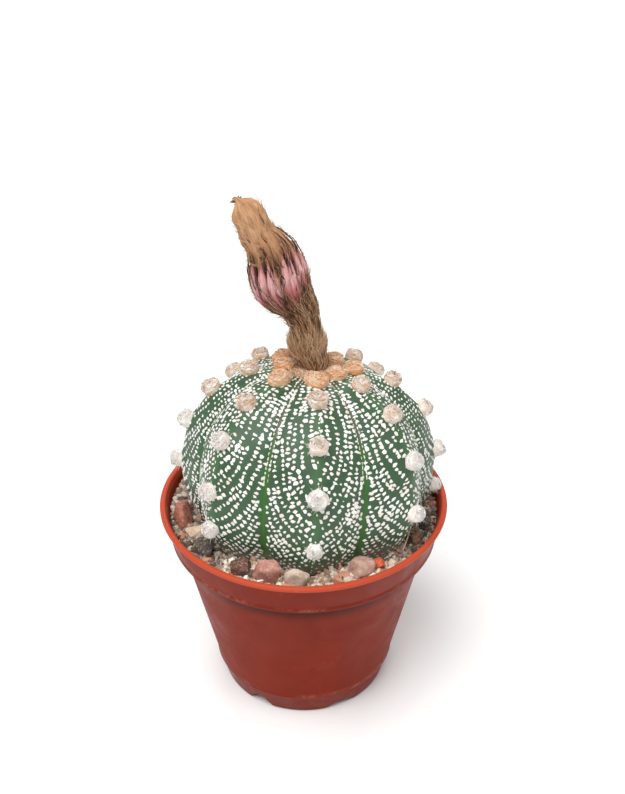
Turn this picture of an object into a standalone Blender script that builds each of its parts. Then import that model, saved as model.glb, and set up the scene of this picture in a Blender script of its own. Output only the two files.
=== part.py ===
"""A round star cactus with one withered flower, growing in a 55 mm nursery pot.

Metres, +Z up. The pot stands on Z = 0 with its axis on Z, and its front faces -Y.
Azimuths run from the front towards +X. The plant has a frame of its own, an empty at the
height of the rim, which carries its small offset from the pot's axis and its lean.
"""

import math

import bmesh
import bpy
from mathutils import Matrix, Vector, noise

TURN = 2 * math.pi
PIECE_GAP = 0.0003  # air between pieces that touch

# ---- pot: injection-moulded, one thin shell ----
POT_HEIGHT = 0.0410
RIM_RADIUS = 0.0275
BASE_RADIUS = 0.0164
POT_WALL = 0.0009
LIP_HEIGHT = 0.0011
LIP_WIDTH = 0.0012
LIP_OVERHANG = 0.0003  # how far the lip stands out from the collar
COLLAR_HEIGHT = 0.0070
COLLAR_TAPER = 0.0018
BEAD_HEIGHT = 0.0006
BEAD_DEPTH = 0.00018
STEP_DEPTH = 0.0014  # the pot's wall is this much narrower than its collar
STEP_HEIGHT = 0.0008
FOOT_HEIGHT = 0.0050
FOOT_TAPER = 0.0014
FOOT_LEDGE = 0.00025
FLOOR_RISE = 0.0024  # underside of the floor above the table
DRAIN_RADIUS = 0.0018
DRAIN_CIRCLE = 0.0108
POT_STEPS = 72
NOTCH_SLOPE = 0.30  # share of a notch's width taken by each sloping end
# azimuth in degrees, width, height
FOOT_NOTCHES = (
    (-31, 0.0050, 0.0021),
    (26, 0.0062, 0.0011),
    (90, 0.0054, 0.0016),
    (150, 0.0054, 0.0016),
    (-150, 0.0054, 0.0016),
    (-90, 0.0054, 0.0016),
)

# ---- plant frame ----
PLANT_OFFSET = Vector((0.0006, -0.0008, 0))  # from the pot's axis, at the height of the rim
PLANT_LEAN = math.radians(9.7)
LEAN_TOWARDS = math.radians(161)  # mostly to the back

# ---- cactus body ----
BODY_TO_RIM = 0.0024  # clear space between the widest rib and the lip
BODY_RADIUS = RIM_RADIUS - LIP_WIDTH - BODY_TO_RIM
CROWN_RISE = 0.0268  # above the rim
WIDEST_RISE = 0.0068
BURIED_DEPTH = 0.0150  # of the body below the rim
CROWN_SQUARENESS = 2.28  # exponent of the upper meridian, 2 is an ellipse
CROWN_DISH = 0.0009  # the growing point lies in a shallow dish
DISH_RADIUS = 0.0070
VALLEY_DEPTH = 0.0019
GROOVE_DEPTH = 0.0007
GROOVE_SHARE = 0.16  # of half the way between two ridges
RIDGE_ROUNDING = 0.12
KNOB_RISE = 0.0005  # swelling of the rib under each areole
KNOB_REACH = 0.0022
SECTOR_COLUMNS = 10
BODY_ROWS = 30

# ---- areoles: woolly pads along the ridges, the youngest round the crown ----
AREOLE_RADIUS = 0.00165
CROWN_WOOL_RADIUS = 0.0018
PAD_DOME = 0.0011
PAD_SEAT = 0.00035
WOOL_TO_TUBE = 0.0005
# rib, azimuth in degrees, its pads as shares of the way from the tube (0) to the soil (1)
RIBS = (
    ("front", 3, (0.04, 0.20, 0.42, 0.635, 0.88)),
    ("front_right", 51, (0.0, 0.14, 0.33, 0.545, 0.79)),
    ("right", 94, (0.055, 0.24, 0.445, 0.66, 0.85)),
    ("back_right", 140, (0.015, 0.17, 0.38, 0.59, 0.80)),
    ("back", 183, (0.03, 0.20, 0.41, 0.62, 0.83)),
    ("back_left", 228, (0.065, 0.215, 0.42, 0.62, 0.82)),
    ("left", 270, (0.01, 0.17, 0.36, 0.55, 0.755)),
    ("front_left", 314, (0.09, 0.29, 0.48, 0.71, 0.90)),
)
RIDGES = [math.radians(rib[1]) for rib in RIBS]

# ---- withered flower, standing on the crown ----
TUBE_RADIUS = 0.0030
FLOWER_SIDES = 18
# one line from the crown to the tip, in the plant's frame: x, height above the crown, share of
# the tube's radius, and how flat the section is
FLOWER_LINE = (
    (0.0000, 0.0000, 0.95, 1.00),
    (-0.0001, 0.0010, 1.00, 1.00),
    (-0.0008, 0.0028, 1.08, 1.00),
    (-0.0014, 0.0048, 1.12, 1.00),
    (-0.0023, 0.0090, 1.04, 1.00),
    (-0.0034, 0.0112, 1.16, 1.00),
    (-0.0050, 0.0130, 1.44, 0.98),
    (-0.0066, 0.0156, 1.72, 0.96),
    (-0.0074, 0.0176, 1.81, 0.94),
    (-0.0079, 0.0194, 1.75, 0.94),
    (-0.0087, 0.0216, 1.60, 0.90),
    (-0.0099, 0.0233, 1.42, 0.84),
    (-0.0111, 0.0247, 1.29, 0.80),
    (-0.0121, 0.0263, 1.20, 0.78),
    (-0.0131, 0.0280, 1.10, 0.76),
    (-0.0143, 0.0296, 0.98, 0.74),
    (-0.0155, 0.0308, 0.66, 0.74),
)
TUBE_END = 5  # the station where the tepals take over
TEPALS_END = 10  # and where the dried petals stand out of them

# ---- soil and roots ----
SOIL_DROP = 0.0025  # below the rim
SOIL_ROUGHNESS = 0.0005
HEAP_RISE = 0.0013  # of the sand at the front of the plant
SOIL_RINGS = (0.0, 0.45, 0.66, 0.76, 0.83, 0.88, 0.93, 0.97, 1.0)
ROOT_RADIUS = 0.0036
ROOT_LENGTH = 0.0150
ROOT_SIDES = 14

# ---- stones between the plant and the rim ----
STONE_FILL = 0.82  # of the clear space across the ring
# name, way along the ring from the front, width, height, share sunk in the soil, sRGB
STONES = (
    ("lava_stone", -0.0312, 0.0060, 0.0042, 0.22, "A5543F"),
    ("pale_stone", -0.0260, 0.0024, 0.0022, 0.25, "C9A48C"),
    ("dark_clod", -0.0207, 0.0038, 0.0032, 0.30, "57493F"),
    ("brown_stone", -0.0117, 0.0042, 0.0030, 0.25, "6E4234"),
    ("pink_stone", -0.0063, 0.0046, 0.0042, 0.14, "A9685A"),
    ("sand_stone", -0.0012, 0.0044, 0.0036, 0.16, "C4A98C"),
    ("rose_stone", 0.0108, 0.0042, 0.0032, 0.14, "C08A76"),
    ("orange_chip", 0.0141, 0.0018, 0.0018, 0.12, "C8532F"),
    ("brown_chip", 0.0243, 0.0036, 0.0036, 0.22, "7A5A44"),
    ("dark_stone", 0.0296, 0.0036, 0.0034, 0.25, "4A4139"),
)


def linear(channel):
    value = int(channel, 16) / 255
    return value / 12.92 if value <= 0.04045 else ((value + 0.055) / 1.055) ** 2.4


def plain_material(name, srgb, roughness):
    """A Principled material from an sRGB hex colour."""
    material = bpy.data.materials.new(name)
    material.use_nodes = True
    shader = material.node_tree.nodes["Principled BSDF"]
    colour = [linear(srgb[i : i + 2]) for i in (0, 2, 4)]
    shader.inputs["Base Color"].default_value = (*colour, 1.0)
    shader.inputs["Roughness"].default_value = roughness
    shader.inputs["Metallic"].default_value = 0.0
    material.diffuse_color = (*colour, 1.0)
    return material


def place(name, mesh, material, parent=None, matrix=None, sharp=40):
    """Puts a mesh in the scene as one named, smooth-shaded object."""
    mesh.materials.clear()
    mesh.materials.append(material)
    mesh.shade_smooth()
    mesh.set_sharp_from_angle(angle=math.radians(sharp))
    item = bpy.data.objects.new(name, mesh)
    bpy.context.scene.collection.objects.link(item)
    item.parent = parent
    item.matrix_local = matrix or Matrix.Identity(4)
    return item


def make_cutter(item, group):
    """Hides a helper and adds it to the group that a Boolean takes away."""
    item.hide_render = True
    item.display_type = "WIRE"
    group.objects.link(item)


def cut_with(item, group):
    cut = item.modifiers.new("cut_" + group.name, "BOOLEAN")
    cut.operation = "DIFFERENCE"
    cut.operand_type = "COLLECTION"
    cut.collection = group
    cut.solver = "EXACT"


def finished(shape, name):
    """Turns a bmesh into a mesh with its faces pointing out."""
    bmesh.ops.remove_doubles(shape, verts=shape.verts, dist=1e-6)
    bmesh.ops.recalc_face_normals(shape, faces=shape.faces)
    mesh = bpy.data.meshes.new(name)
    shape.to_mesh(mesh)
    shape.free()
    return mesh


def turned(profile, steps):
    """Spins a profile of (radius, height) points round Z. Its ends lie on the axis."""
    shape = bmesh.new()
    points = [shape.verts.new((radius, 0, height)) for radius, height in profile]
    edges = [shape.edges.new(pair) for pair in zip(points, points[1:])]
    bmesh.ops.spin(
        shape, geom=points + edges, cent=(0, 0, 0), axis=(0, 0, 1),
        dvec=(0, 0, 0), angle=TURN, steps=steps, use_merge=True,
    )
    return shape


def lofted(stations, sides):
    """A closed body through (centre, direction, radius, flatness) stations."""
    shape = bmesh.new()
    loops = []
    for index, (centre, direction, radius, flatness) in enumerate(stations):
        capped = index in (0, len(stations) - 1)
        ring = bmesh.ops.create_circle(shape, cap_ends=capped, segments=sides, radius=radius)["verts"]
        facing = direction.to_track_quat("Z", "Y").to_matrix().to_4x4()
        bmesh.ops.scale(shape, vec=(1, flatness, 1), verts=ring)
        bmesh.ops.transform(shape, matrix=Matrix.Translation(centre) @ facing, verts=ring)
        loops.append([edge for edge in shape.edges if all(vertex in ring for vertex in edge.verts)])
    for low, high in zip(loops, loops[1:]):
        bmesh.ops.bridge_loops(shape, edges=low + high)
    return shape


def pebble(width, depth, height, seed, grow=0.0):
    """An uneven rounded stone, centred, with its width along X."""
    shape = bmesh.new()
    bmesh.ops.create_icosphere(shape, subdivisions=2, radius=1.0)
    for vertex in shape.verts:
        uneven = 1 - 0.16 * (0.5 + 0.5 * noise.noise(vertex.co * 1.3 + Vector((seed * 3.7, seed, 0))))
        half = Vector((width, depth, height)) / 2
        vertex.co = Vector(a * b * uneven for a, b in zip(vertex.co, half))
    grow_along_normals(shape, grow)
    return shape


def grow_along_normals(shape, grow):
    shape.normal_update()
    for vertex, normal in [(v, v.normal.copy()) for v in shape.verts]:
        vertex.co += normal * grow


def heading(azimuth):
    return Vector((math.sin(azimuth), -math.cos(azimuth), 0))


# ---- pot ----


def wall_radius(height):
    """Outer radius of the pot's plain shape at a height above the table."""
    collar_foot = POT_HEIGHT - COLLAR_HEIGHT
    collar_radius = RIM_RADIUS - LIP_OVERHANG - COLLAR_TAPER
    outline = (
        (0, BASE_RADIUS),
        (FOOT_HEIGHT, BASE_RADIUS + FOOT_TAPER),
        (collar_foot - STEP_HEIGHT, collar_radius - STEP_DEPTH),
        (collar_foot, collar_radius),
        (POT_HEIGHT, RIM_RADIUS - LIP_OVERHANG),
    )
    for (low, low_radius), (high, high_radius) in zip(outline, outline[1:]):
        if height <= high:
            return low_radius + (high_radius - low_radius) * (height - low) / (high - low)
    return outline[-1][1]


def bore_radius(height):
    return wall_radius(height) - POT_WALL


def arc(centre, radius, start, end, steps=5):
    """Points on part of a circle in the profile's plane. Angles in degrees from the +radius side."""
    angles = [math.radians(start + (end - start) * i / steps) for i in range(steps + 1)]
    return [(centre[0] + radius * math.cos(a), centre[1] + radius * math.sin(a)) for a in angles]


def pot_profile():
    floor_top = FLOOR_RISE + POT_WALL
    step_top = POT_HEIGHT - COLLAR_HEIGHT
    step_foot = step_top - STEP_HEIGHT
    lip_foot = POT_HEIGHT - LIP_HEIGHT
    lip_round = LIP_HEIGHT * 0.48
    lip_inside = RIM_RADIUS - LIP_WIDTH
    inside = [(0, floor_top)]
    inside += [(bore_radius(h), h) for h in (floor_top, FOOT_HEIGHT, step_foot, step_top, lip_foot)]
    inside[-1] = (min(bore_radius(lip_foot), lip_inside), lip_foot)
    lip = arc((lip_inside + lip_round, POT_HEIGHT - lip_round), lip_round, 180, 90)
    lip += arc((RIM_RADIUS - lip_round, POT_HEIGHT - lip_round), lip_round, 90, -75)
    bead_radius = wall_radius(step_top) + BEAD_DEPTH
    outside = [
        (wall_radius(lip_foot), lip_foot),
        (wall_radius(step_top + BEAD_HEIGHT), step_top + BEAD_HEIGHT),
        (bead_radius, step_top + BEAD_HEIGHT * 0.6),
        (bead_radius, step_top + BEAD_HEIGHT * 0.1),
        (wall_radius(step_top) - STEP_DEPTH * 0.2, step_top - STEP_HEIGHT * 0.3),
        (wall_radius(step_foot), step_foot),
        (wall_radius(FOOT_HEIGHT) + FOOT_LEDGE, FOOT_HEIGHT + FOOT_LEDGE),
        (wall_radius(FOOT_HEIGHT), FOOT_HEIGHT - FOOT_LEDGE),
        (BASE_RADIUS, 0),
    ]
    under = [(BASE_RADIUS - POT_WALL, 0), (bore_radius(FLOOR_RISE), FLOOR_RISE), (0, FLOOR_RISE)]
    return inside + lip + outside + under


def notch_cutter(azimuth, width, height):
    """A wedge across the foot ring, with sloping ends and an open bottom."""
    shape = bmesh.new()
    outline = [
        (-width / 2, -height),
        (width / 2, -height),
        (width / 2, 0),
        (width * (0.5 - NOTCH_SLOPE), height),
        (-width * (0.5 - NOTCH_SLOPE), height),
        (-width / 2, 0),
    ]
    reach = FOOT_TAPER + 3 * POT_WALL
    face = shape.faces.new([shape.verts.new((x, -reach / 2, z)) for x, z in outline])
    swept = bmesh.ops.extrude_face_region(shape, geom=[face])
    moved = [item for item in swept["geom"] if isinstance(item, bmesh.types.BMVert)]
    bmesh.ops.translate(shape, vec=(0, reach, 0), verts=moved)
    middle = heading(azimuth) * (BASE_RADIUS + (FOOT_TAPER - POT_WALL) / 2)
    matrix = Matrix.Translation(middle) @ Matrix.Rotation(azimuth, 4, "Z")
    bmesh.ops.transform(shape, matrix=matrix, verts=shape.verts)
    return finished(shape, "notch_cutter")


def make_pot():
    plastic = plain_material("terracotta_plastic", "B4523C", 0.45)
    pot = place("pot", finished(turned(pot_profile(), POT_STEPS), "pot"), plastic, sharp=35)
    openings = bpy.data.collections.new("pot_openings")
    for azimuth, width, height in FOOT_NOTCHES:
        mesh = notch_cutter(math.radians(azimuth), width, height)
        make_cutter(place("notch_cutter", mesh, plastic), openings)
    for azimuth, _, _ in FOOT_NOTCHES:
        shape = bmesh.new()
        bmesh.ops.create_cone(
            shape, cap_ends=True, segments=16, radius1=DRAIN_RADIUS, radius2=DRAIN_RADIUS, depth=4 * POT_WALL,
        )
        centre = heading(math.radians(azimuth)) * DRAIN_CIRCLE + Vector((0, 0, FLOOR_RISE + POT_WALL / 2))
        bmesh.ops.translate(shape, vec=centre, verts=shape.verts)
        make_cutter(place("drain_cutter", finished(shape, "drain_cutter"), plastic), openings)
    cut_with(pot, openings)


# ---- cactus body ----


def furrow_share(azimuth):
    """0 on a ridge, 1 at the bottom of the furrow between two ridges."""
    for ridge, next_ridge in zip(RIDGES, RIDGES[1:] + [RIDGES[0] + TURN]):
        past = (azimuth - ridge) % TURN
        if past < next_ridge - ridge:
            return 1 - abs(2 * past / (next_ridge - ridge) - 1)
    return 0.0


def skin(azimuth, polar):
    """A point of the ribbed skin. polar is 0 at the crown and pi at the buried end."""
    side = max(math.sin(polar), 0.0)
    rise = math.cos(polar)
    share = furrow_share(azimuth)
    rounded = math.sqrt(share**2 + RIDGE_ROUNDING**2) - RIDGE_ROUNDING
    valley = 1 - (1 - min(rounded, 1)) ** 2
    groove = math.exp(-(((1 - share) / GROOVE_SHARE) ** 2))
    dent = (VALLEY_DEPTH * valley + GROOVE_DEPTH * groove) * side
    if rise > 0:
        radius = BODY_RADIUS * side ** (2 / CROWN_SQUARENESS)
        height = WIDEST_RISE + (CROWN_RISE - WIDEST_RISE) * rise ** (2 / CROWN_SQUARENESS)
        height -= CROWN_DISH * math.exp(-((radius / DISH_RADIUS) ** 2))
    else:
        radius = BODY_RADIUS * side
        height = WIDEST_RISE + (BURIED_DEPTH + WIDEST_RISE) * rise
    return heading(azimuth) * (radius - dent) + Vector((0, 0, height))


def polar_at(azimuth, length):
    """The polar angle that lies a given length along the skin from the crown."""
    steps = 720
    walked = 0.0
    last = skin(azimuth, 0)
    for step in range(1, steps):
        polar = math.pi * step / steps
        point = skin(azimuth, polar)
        walked += (point - last).length
        if walked >= length:
            return polar
        last = point
    return math.pi


def bare_length(azimuth):
    """The length of skin from the crown down to the soil."""
    steps = 720
    walked = 0.0
    last = skin(azimuth, 0)
    for step in range(1, steps):
        point = skin(azimuth, math.pi * step / steps)
        if point.z < -SOIL_DROP:
            break
        walked += (point - last).length
        last = point
    return walked


def pad_places():
    """Yields (rib name, number, azimuth, polar) for each pad. Number 0 is the crown's wool."""
    first_length = TUBE_RADIUS + WOOL_TO_TUBE + CROWN_WOOL_RADIUS
    for name, degrees, shares in RIBS:
        azimuth = math.radians(degrees)
        run = bare_length(azimuth) - first_length
        for number, share in enumerate(shares):
            yield name, number, azimuth, polar_at(azimuth, first_length + run * share)


def body_shape(grow=0.0):
    """The ribbed body: a sphere's grid, its columns set on the ridges and furrows."""
    shape = bmesh.new()
    columns = SECTOR_COLUMNS * len(RIBS)
    bmesh.ops.create_uvsphere(shape, u_segments=columns, v_segments=BODY_ROWS, radius=1.0)
    knobs = [skin(azimuth, polar) for _, number, azimuth, polar in pad_places() if number]
    for vertex in shape.verts:
        column = round(columns * math.atan2(vertex.co.y, vertex.co.x) / TURN) % columns
        rib, step = divmod(column, SECTOR_COLUMNS)
        start = RIDGES[rib]
        end = (RIDGES[1:] + [RIDGES[0] + TURN])[rib]
        azimuth = start + (end - start) * step / SECTOR_COLUMNS
        point = skin(azimuth, math.acos(max(-1, min(1, vertex.co.z))))
        swelling = sum(math.exp(-(((point - knob).length / KNOB_REACH) ** 2)) for knob in knobs)
        outward = (heading(azimuth) * vertex.co.xy.length + Vector((0, 0, vertex.co.z))).normalized()
        vertex.co = point + outward * KNOB_RISE * swelling
    bmesh.ops.recalc_face_normals(shape, faces=shape.faces)
    grow_along_normals(shape, grow)
    return shape


def seat_matrix(azimuth, polar, lift):
    """Stands a pad on the skin: its Z along the skin's normal, lifted clear of the knob."""
    point = skin(azimuth, polar)
    down_rib = skin(azimuth, polar + 0.02) - skin(azimuth, polar - 0.02)
    across = heading(azimuth + math.pi / 2)
    normal = across.cross(down_rib).normalized()
    if normal.dot(point - Vector((0, 0, WIDEST_RISE))) < 0:
        normal.negate()
    turn = Matrix((across, normal.cross(across), normal)).transposed().to_4x4()
    return Matrix.Translation(point + normal * lift) @ turn


def pad_mesh(name, radius):
    """A low cushion of wool: domed above, shallow below."""
    shape = bmesh.new()
    bmesh.ops.create_icosphere(shape, subdivisions=2, radius=1.0)
    for vertex in shape.verts:
        tall = PAD_DOME if vertex.co.z > 0 else PAD_SEAT
        vertex.co = Vector((vertex.co.x * radius, vertex.co.y * radius, vertex.co.z * tall))
    return finished(shape, name)


def make_pads(plant):
    """The crown's wool round the flower, and the areoles below it."""
    crown = plain_material("crown_wool", "E0A36A", 0.95)
    wool = plain_material("areole_wool", "E9E0D6", 0.95)
    for name, number, azimuth, polar in pad_places():
        if number:
            matrix = seat_matrix(azimuth, polar, KNOB_RISE + PIECE_GAP + PAD_SEAT)
            mesh = pad_mesh("areole", AREOLE_RADIUS)
            place(f"areole_{name}_{number}", mesh, wool, plant, matrix)
        else:
            matrix = seat_matrix(azimuth, polar, PIECE_GAP + PAD_SEAT)
            place(f"crown_wool_{name}", pad_mesh("crown_wool", CROWN_WOOL_RADIUS), crown, plant, matrix)


# ---- withered flower ----


def flower_piece(first, last):
    """The part of the flower between two stations, drawn back from a neighbour by half a gap."""
    foot = CROWN_RISE - CROWN_DISH + PIECE_GAP
    line = [Vector((x, 0, foot + rise)) for x, rise, _, _ in FLOWER_LINE]
    stations = []
    for index in range(first, last + 1):
        direction = (line[min(index + 1, len(line) - 1)] - line[max(index - 1, 0)]).normalized()
        if index == 0:
            direction = Vector((0, 0, 1))
        centre = line[index].copy()
        if index == first and index > 0:
            centre += direction * PIECE_GAP / 2
        if index == last and index < len(line) - 1:
            centre -= direction * PIECE_GAP / 2
        _, _, share, flatness = FLOWER_LINE[index]
        stations.append((centre, direction, TUBE_RADIUS * share, flatness))
    return lofted(stations, FLOWER_SIDES)


def make_flower(plant):
    pieces = (
        ("flower_tube", 0, TUBE_END, "flower_bristles", "9B7A66"),
        ("outer_tepals", TUBE_END, TEPALS_END, "pink_tepals", "C4727A"),
        ("dried_petals", TEPALS_END, len(FLOWER_LINE) - 1, "dry_petal_skin", "C99A62"),
    )
    for name, first, last, material, colour in pieces:
        place(name, finished(flower_piece(first, last), name), plain_material(material, colour, 0.85), plant)


# ---- roots, stones and soil ----


def root_shape(grow=0.0):
    """The tapering root below the body, with a slight bend."""
    top = -BURIED_DEPTH - PIECE_GAP
    stations = []
    for share in (0.0, 0.15, 0.4, 0.7, 1.0):
        centre = Vector((0.0016 * share**2, 0.0010 * share**3, top - ROOT_LENGTH * share))
        direction = Vector((0.0032 * share, 0, -ROOT_LENGTH)).normalized()
        stations.append((centre, direction, ROOT_RADIUS * (1 - 0.78 * share), 1.0))
    shape = lofted(stations, ROOT_SIDES)
    bmesh.ops.recalc_face_normals(shape, faces=shape.faces)
    grow_along_normals(shape, grow)
    return shape


def soil_level(radius, azimuth):
    """Height of the soil's uneven top above the table."""
    rim_share = radius / bore_radius(POT_HEIGHT - SOIL_DROP)
    flat = min(1.0, (1 - rim_share) * 12)
    where = heading(azimuth) * radius / 0.0022
    rough = SOIL_ROUGHNESS * noise.noise(where)
    front = max(0.0, math.cos(azimuth)) ** 2
    heap = HEAP_RISE * front * min(1.0, (1 - rim_share) * 5)
    return POT_HEIGHT - SOIL_DROP + flat * rough + heap


def soil_shape():
    top = POT_HEIGHT - SOIL_DROP
    floor = FLOOR_RISE + POT_WALL + PIECE_GAP
    step_top = POT_HEIGHT - COLLAR_HEIGHT
    rings = [(share * (bore_radius(top) - PIECE_GAP), top) for share in SOIL_RINGS]
    side = [(bore_radius(h) - PIECE_GAP, h) for h in (step_top, step_top - STEP_HEIGHT, FOOT_HEIGHT, floor)]
    shape = turned(rings + side + [(0, floor)], POT_STEPS)
    bmesh.ops.remove_doubles(shape, verts=shape.verts, dist=1e-6)
    for vertex in shape.verts:
        if vertex.co.z > top - 1e-6:
            azimuth = math.atan2(vertex.co.x, -vertex.co.y)
            vertex.co.z = soil_level(vertex.co.xy.length, azimuth)
    return shape


def polar_of(height):
    """The polar angle of a ridge at a height in the plant's frame."""
    if height > WIDEST_RISE:
        share = (height - WIDEST_RISE) / (CROWN_RISE - WIDEST_RISE)
        return math.acos(min(share, 1.0) ** (CROWN_SQUARENESS / 2))
    return math.acos(max((height - WIDEST_RISE) / (BURIED_DEPTH + WIDEST_RISE), -1.0))


def plant_reach(plant, azimuth, height):
    """How far out from the pot's axis the body comes at a height above the table."""
    to_plant = plant.matrix_world.inverted()
    reach = 0.0
    for step in range(260):
        radius = RIM_RADIUS * step / 260
        point = to_plant @ (heading(azimuth) * radius + Vector((0, 0, height)))
        around = math.atan2(point.x, -point.y)
        if point.xy.length <= skin(around, polar_of(point.z)).xy.length:
            reach = radius
    return reach


def stone_places(plant):
    """Yields (name, azimuth, centre radius, depth, width, height, level, colour) for each stone."""
    for name, way, width, height, sunk, colour in STONES:
        ring = bore_radius(POT_HEIGHT - SOIL_DROP)
        azimuth = way / (ring * 0.9)
        half = width / 2 / (ring * 0.9)
        level = soil_level(ring * 0.9, azimuth) + height * (0.5 - sunk)
        low, high = level - height / 2, level + height / 2
        spots = [azimuth + half * share for share in (-0.9, -0.45, 0, 0.45, 0.9)]
        inner = max(plant_reach(plant, spot, reached) for spot in spots for reached in (low, level, high))
        outer = min(bore_radius(low), RIM_RADIUS - LIP_WIDTH) * math.cos(half)
        depth = (outer - inner - 3 * PIECE_GAP) * STONE_FILL
        radius = inner + 1.5 * PIECE_GAP + depth / 2
        yield name, azimuth, radius, depth, width, height, level, colour


def make_ground(plant):
    """Stones, roots and the soil that holds them, with pockets cut to fit."""
    pockets = bpy.data.collections.new("soil_pockets")
    earth = plain_material("potting_soil", "7D6A58", 1.0)
    for seed, (name, azimuth, radius, depth, width, height, level, colour) in enumerate(stone_places(plant)):
        matrix = Matrix.Translation(heading(azimuth) * radius + Vector((0, 0, level)))
        matrix = matrix @ Matrix.Rotation(azimuth, 4, "Z")
        stone = plain_material(name, colour, 0.9)
        place(name, finished(pebble(width, depth, height, seed), name), stone, matrix=matrix)
        pocket = finished(pebble(width, depth, height, seed, PIECE_GAP), "stone_pocket")
        make_cutter(place("stone_pocket", pocket, earth, matrix=matrix), pockets)
    place("roots", finished(root_shape(), "roots"), plain_material("root_skin", "B79A77", 0.9), plant)
    make_cutter(place("root_pocket", finished(root_shape(PIECE_GAP), "root_pocket"), earth, plant), pockets)
    make_cutter(place("body_pocket", finished(body_shape(PIECE_GAP), "body_pocket"), earth, plant), pockets)
    cut_with(place("soil", finished(soil_shape(), "soil"), earth), pockets)


def make_plant_frame():
    plant = bpy.data.objects.new("plant", None)
    bpy.context.scene.collection.objects.link(plant)
    lean_axis = Vector((0, 0, 1)).cross(heading(LEAN_TOWARDS))
    place_at_rim = Matrix.Translation(PLANT_OFFSET + Vector((0, 0, POT_HEIGHT)))
    plant.matrix_world = place_at_rim @ Matrix.Rotation(PLANT_LEAN, 4, lean_axis)
    bpy.context.view_layer.update()
    return plant


def main():
    for item in list(bpy.data.objects):
        bpy.data.objects.remove(item)
    plant = make_plant_frame()
    make_pot()
    place("cactus_body", finished(body_shape(), "cactus_body"), plain_material("cactus_skin", "3F6B45", 0.6), plant)
    make_pads(plant)
    make_flower(plant)
    make_ground(plant)


main()
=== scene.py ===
"""A round star cactus with one withered flower, in a 55 mm nursery pot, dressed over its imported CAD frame.

Metres, +Z up, front towards -Y. Bearings run from the front towards +X, as in the part itself.
"""

import math

import bmesh
import bpy
import numpy as np
from mathutils import Matrix, Vector, noise
from mathutils.bvhtree import BVHTree


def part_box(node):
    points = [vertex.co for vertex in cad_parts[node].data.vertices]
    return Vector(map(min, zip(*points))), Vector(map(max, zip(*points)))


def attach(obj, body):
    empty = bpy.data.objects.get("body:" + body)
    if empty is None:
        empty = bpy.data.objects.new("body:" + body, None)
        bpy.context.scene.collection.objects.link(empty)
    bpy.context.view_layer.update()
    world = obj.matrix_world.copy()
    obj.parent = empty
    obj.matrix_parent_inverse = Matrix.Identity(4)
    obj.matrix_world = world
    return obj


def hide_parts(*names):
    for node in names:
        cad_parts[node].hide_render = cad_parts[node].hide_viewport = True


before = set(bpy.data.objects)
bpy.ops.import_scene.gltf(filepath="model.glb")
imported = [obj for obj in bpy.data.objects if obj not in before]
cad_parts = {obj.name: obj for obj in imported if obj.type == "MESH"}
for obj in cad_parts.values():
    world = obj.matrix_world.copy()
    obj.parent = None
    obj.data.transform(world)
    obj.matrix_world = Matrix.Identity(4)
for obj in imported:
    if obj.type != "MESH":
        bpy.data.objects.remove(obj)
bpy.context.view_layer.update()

# ---- Camera ----
# A plain lens a little above the pot, looking down at the front of the plant from an arm's length.
# It is level from side to side, and everything is in focus.

camera_data = bpy.data.cameras.new("camera")
camera_data.lens = 49.87
camera_data.sensor_width = 36
camera_data.clip_start = 0.005
camera = bpy.data.objects.new("camera", camera_data)
camera.location = (0.00171, -0.1714, 0.1662)
camera.rotation_euler = (math.radians(58.91), 0, 0)
bpy.context.scene.collection.objects.link(camera)
bpy.context.scene.camera = camera

# ---- Studio ----
# A seamless sheet of matt white paper under the pot, in a plain white room. A wide overhead panel
# lights all of it evenly from the front left, and two weak soft boxes keep the shadows pale.

PAPER_WHITE = "F2F2F1"
PAPER_SIDE = 3.0
PANEL_STRENGTH = 3.1
PANEL_SPREAD = math.radians(48)
ROOM_GLOW = 0.30
ROOM_WALL = 0.98


def linear(srgb):
    """An sRGB hex colour as linear red, green, blue and alpha."""
    channels = [int(srgb[i : i + 2], 16) / 255 for i in (0, 2, 4)]
    return (*[c / 12.92 if c <= 0.04045 else ((c + 0.055) / 1.055) ** 2.4 for c in channels], 1.0)


def add_node(material, kind, inputs=(), **settings):
    """Adds one node. Each input is a value, or the socket of another node that feeds it."""
    made = material.node_tree.nodes.new(kind)
    for name, value in settings.items():
        setattr(made, name, value)
    for name, value in dict(inputs).items():
        if isinstance(value, bpy.types.NodeSocket):
            material.node_tree.links.new(value, made.inputs[name])
        else:
            made.inputs[name].default_value = value
    return made


def new_material(name, roughness, ior):
    """An empty finish: its material and its Principled shader."""
    material = bpy.data.materials.new(name)
    material.use_nodes = True
    shader = material.node_tree.nodes["Principled BSDF"]
    shader.inputs["Roughness"].default_value = roughness
    shader.inputs["IOR"].default_value = ior
    return material, shader


def feed(material, shader, socket, source):
    """Lets a node's output drive one input of the shader."""
    material.node_tree.links.new(source, shader.inputs[socket])


def make_piece(name, points, faces, material, smooth=True):
    """One object from points and faces."""
    mesh = bpy.data.meshes.new(name)
    mesh.from_pydata([tuple(point) for point in points], [], [tuple(face) for face in faces])
    mesh.materials.append(material)
    mesh.polygons.foreach_set("use_smooth", [smooth] * len(mesh.polygons))
    mesh.update()
    piece = bpy.data.objects.new(name, mesh)
    bpy.context.scene.collection.objects.link(piece)
    return piece


# Uncoated paper: matt, with no gloss that would mirror the pot.
paper, paper_shader = new_material("matt_paper", roughness=0.9, ior=1.45)
paper_shader.inputs["Base Color"].default_value = linear(PAPER_WHITE)
paper_shader.inputs["Specular IOR Level"].default_value = 0.2

half = PAPER_SIDE / 2
sheet = make_piece(
    "studio_floor",
    [(-half, -half, 0), (half, -half, 0), (half, half, 0), (-half, half, 0)],
    [(0, 1, 2, 3)],
    paper,
)

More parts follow.
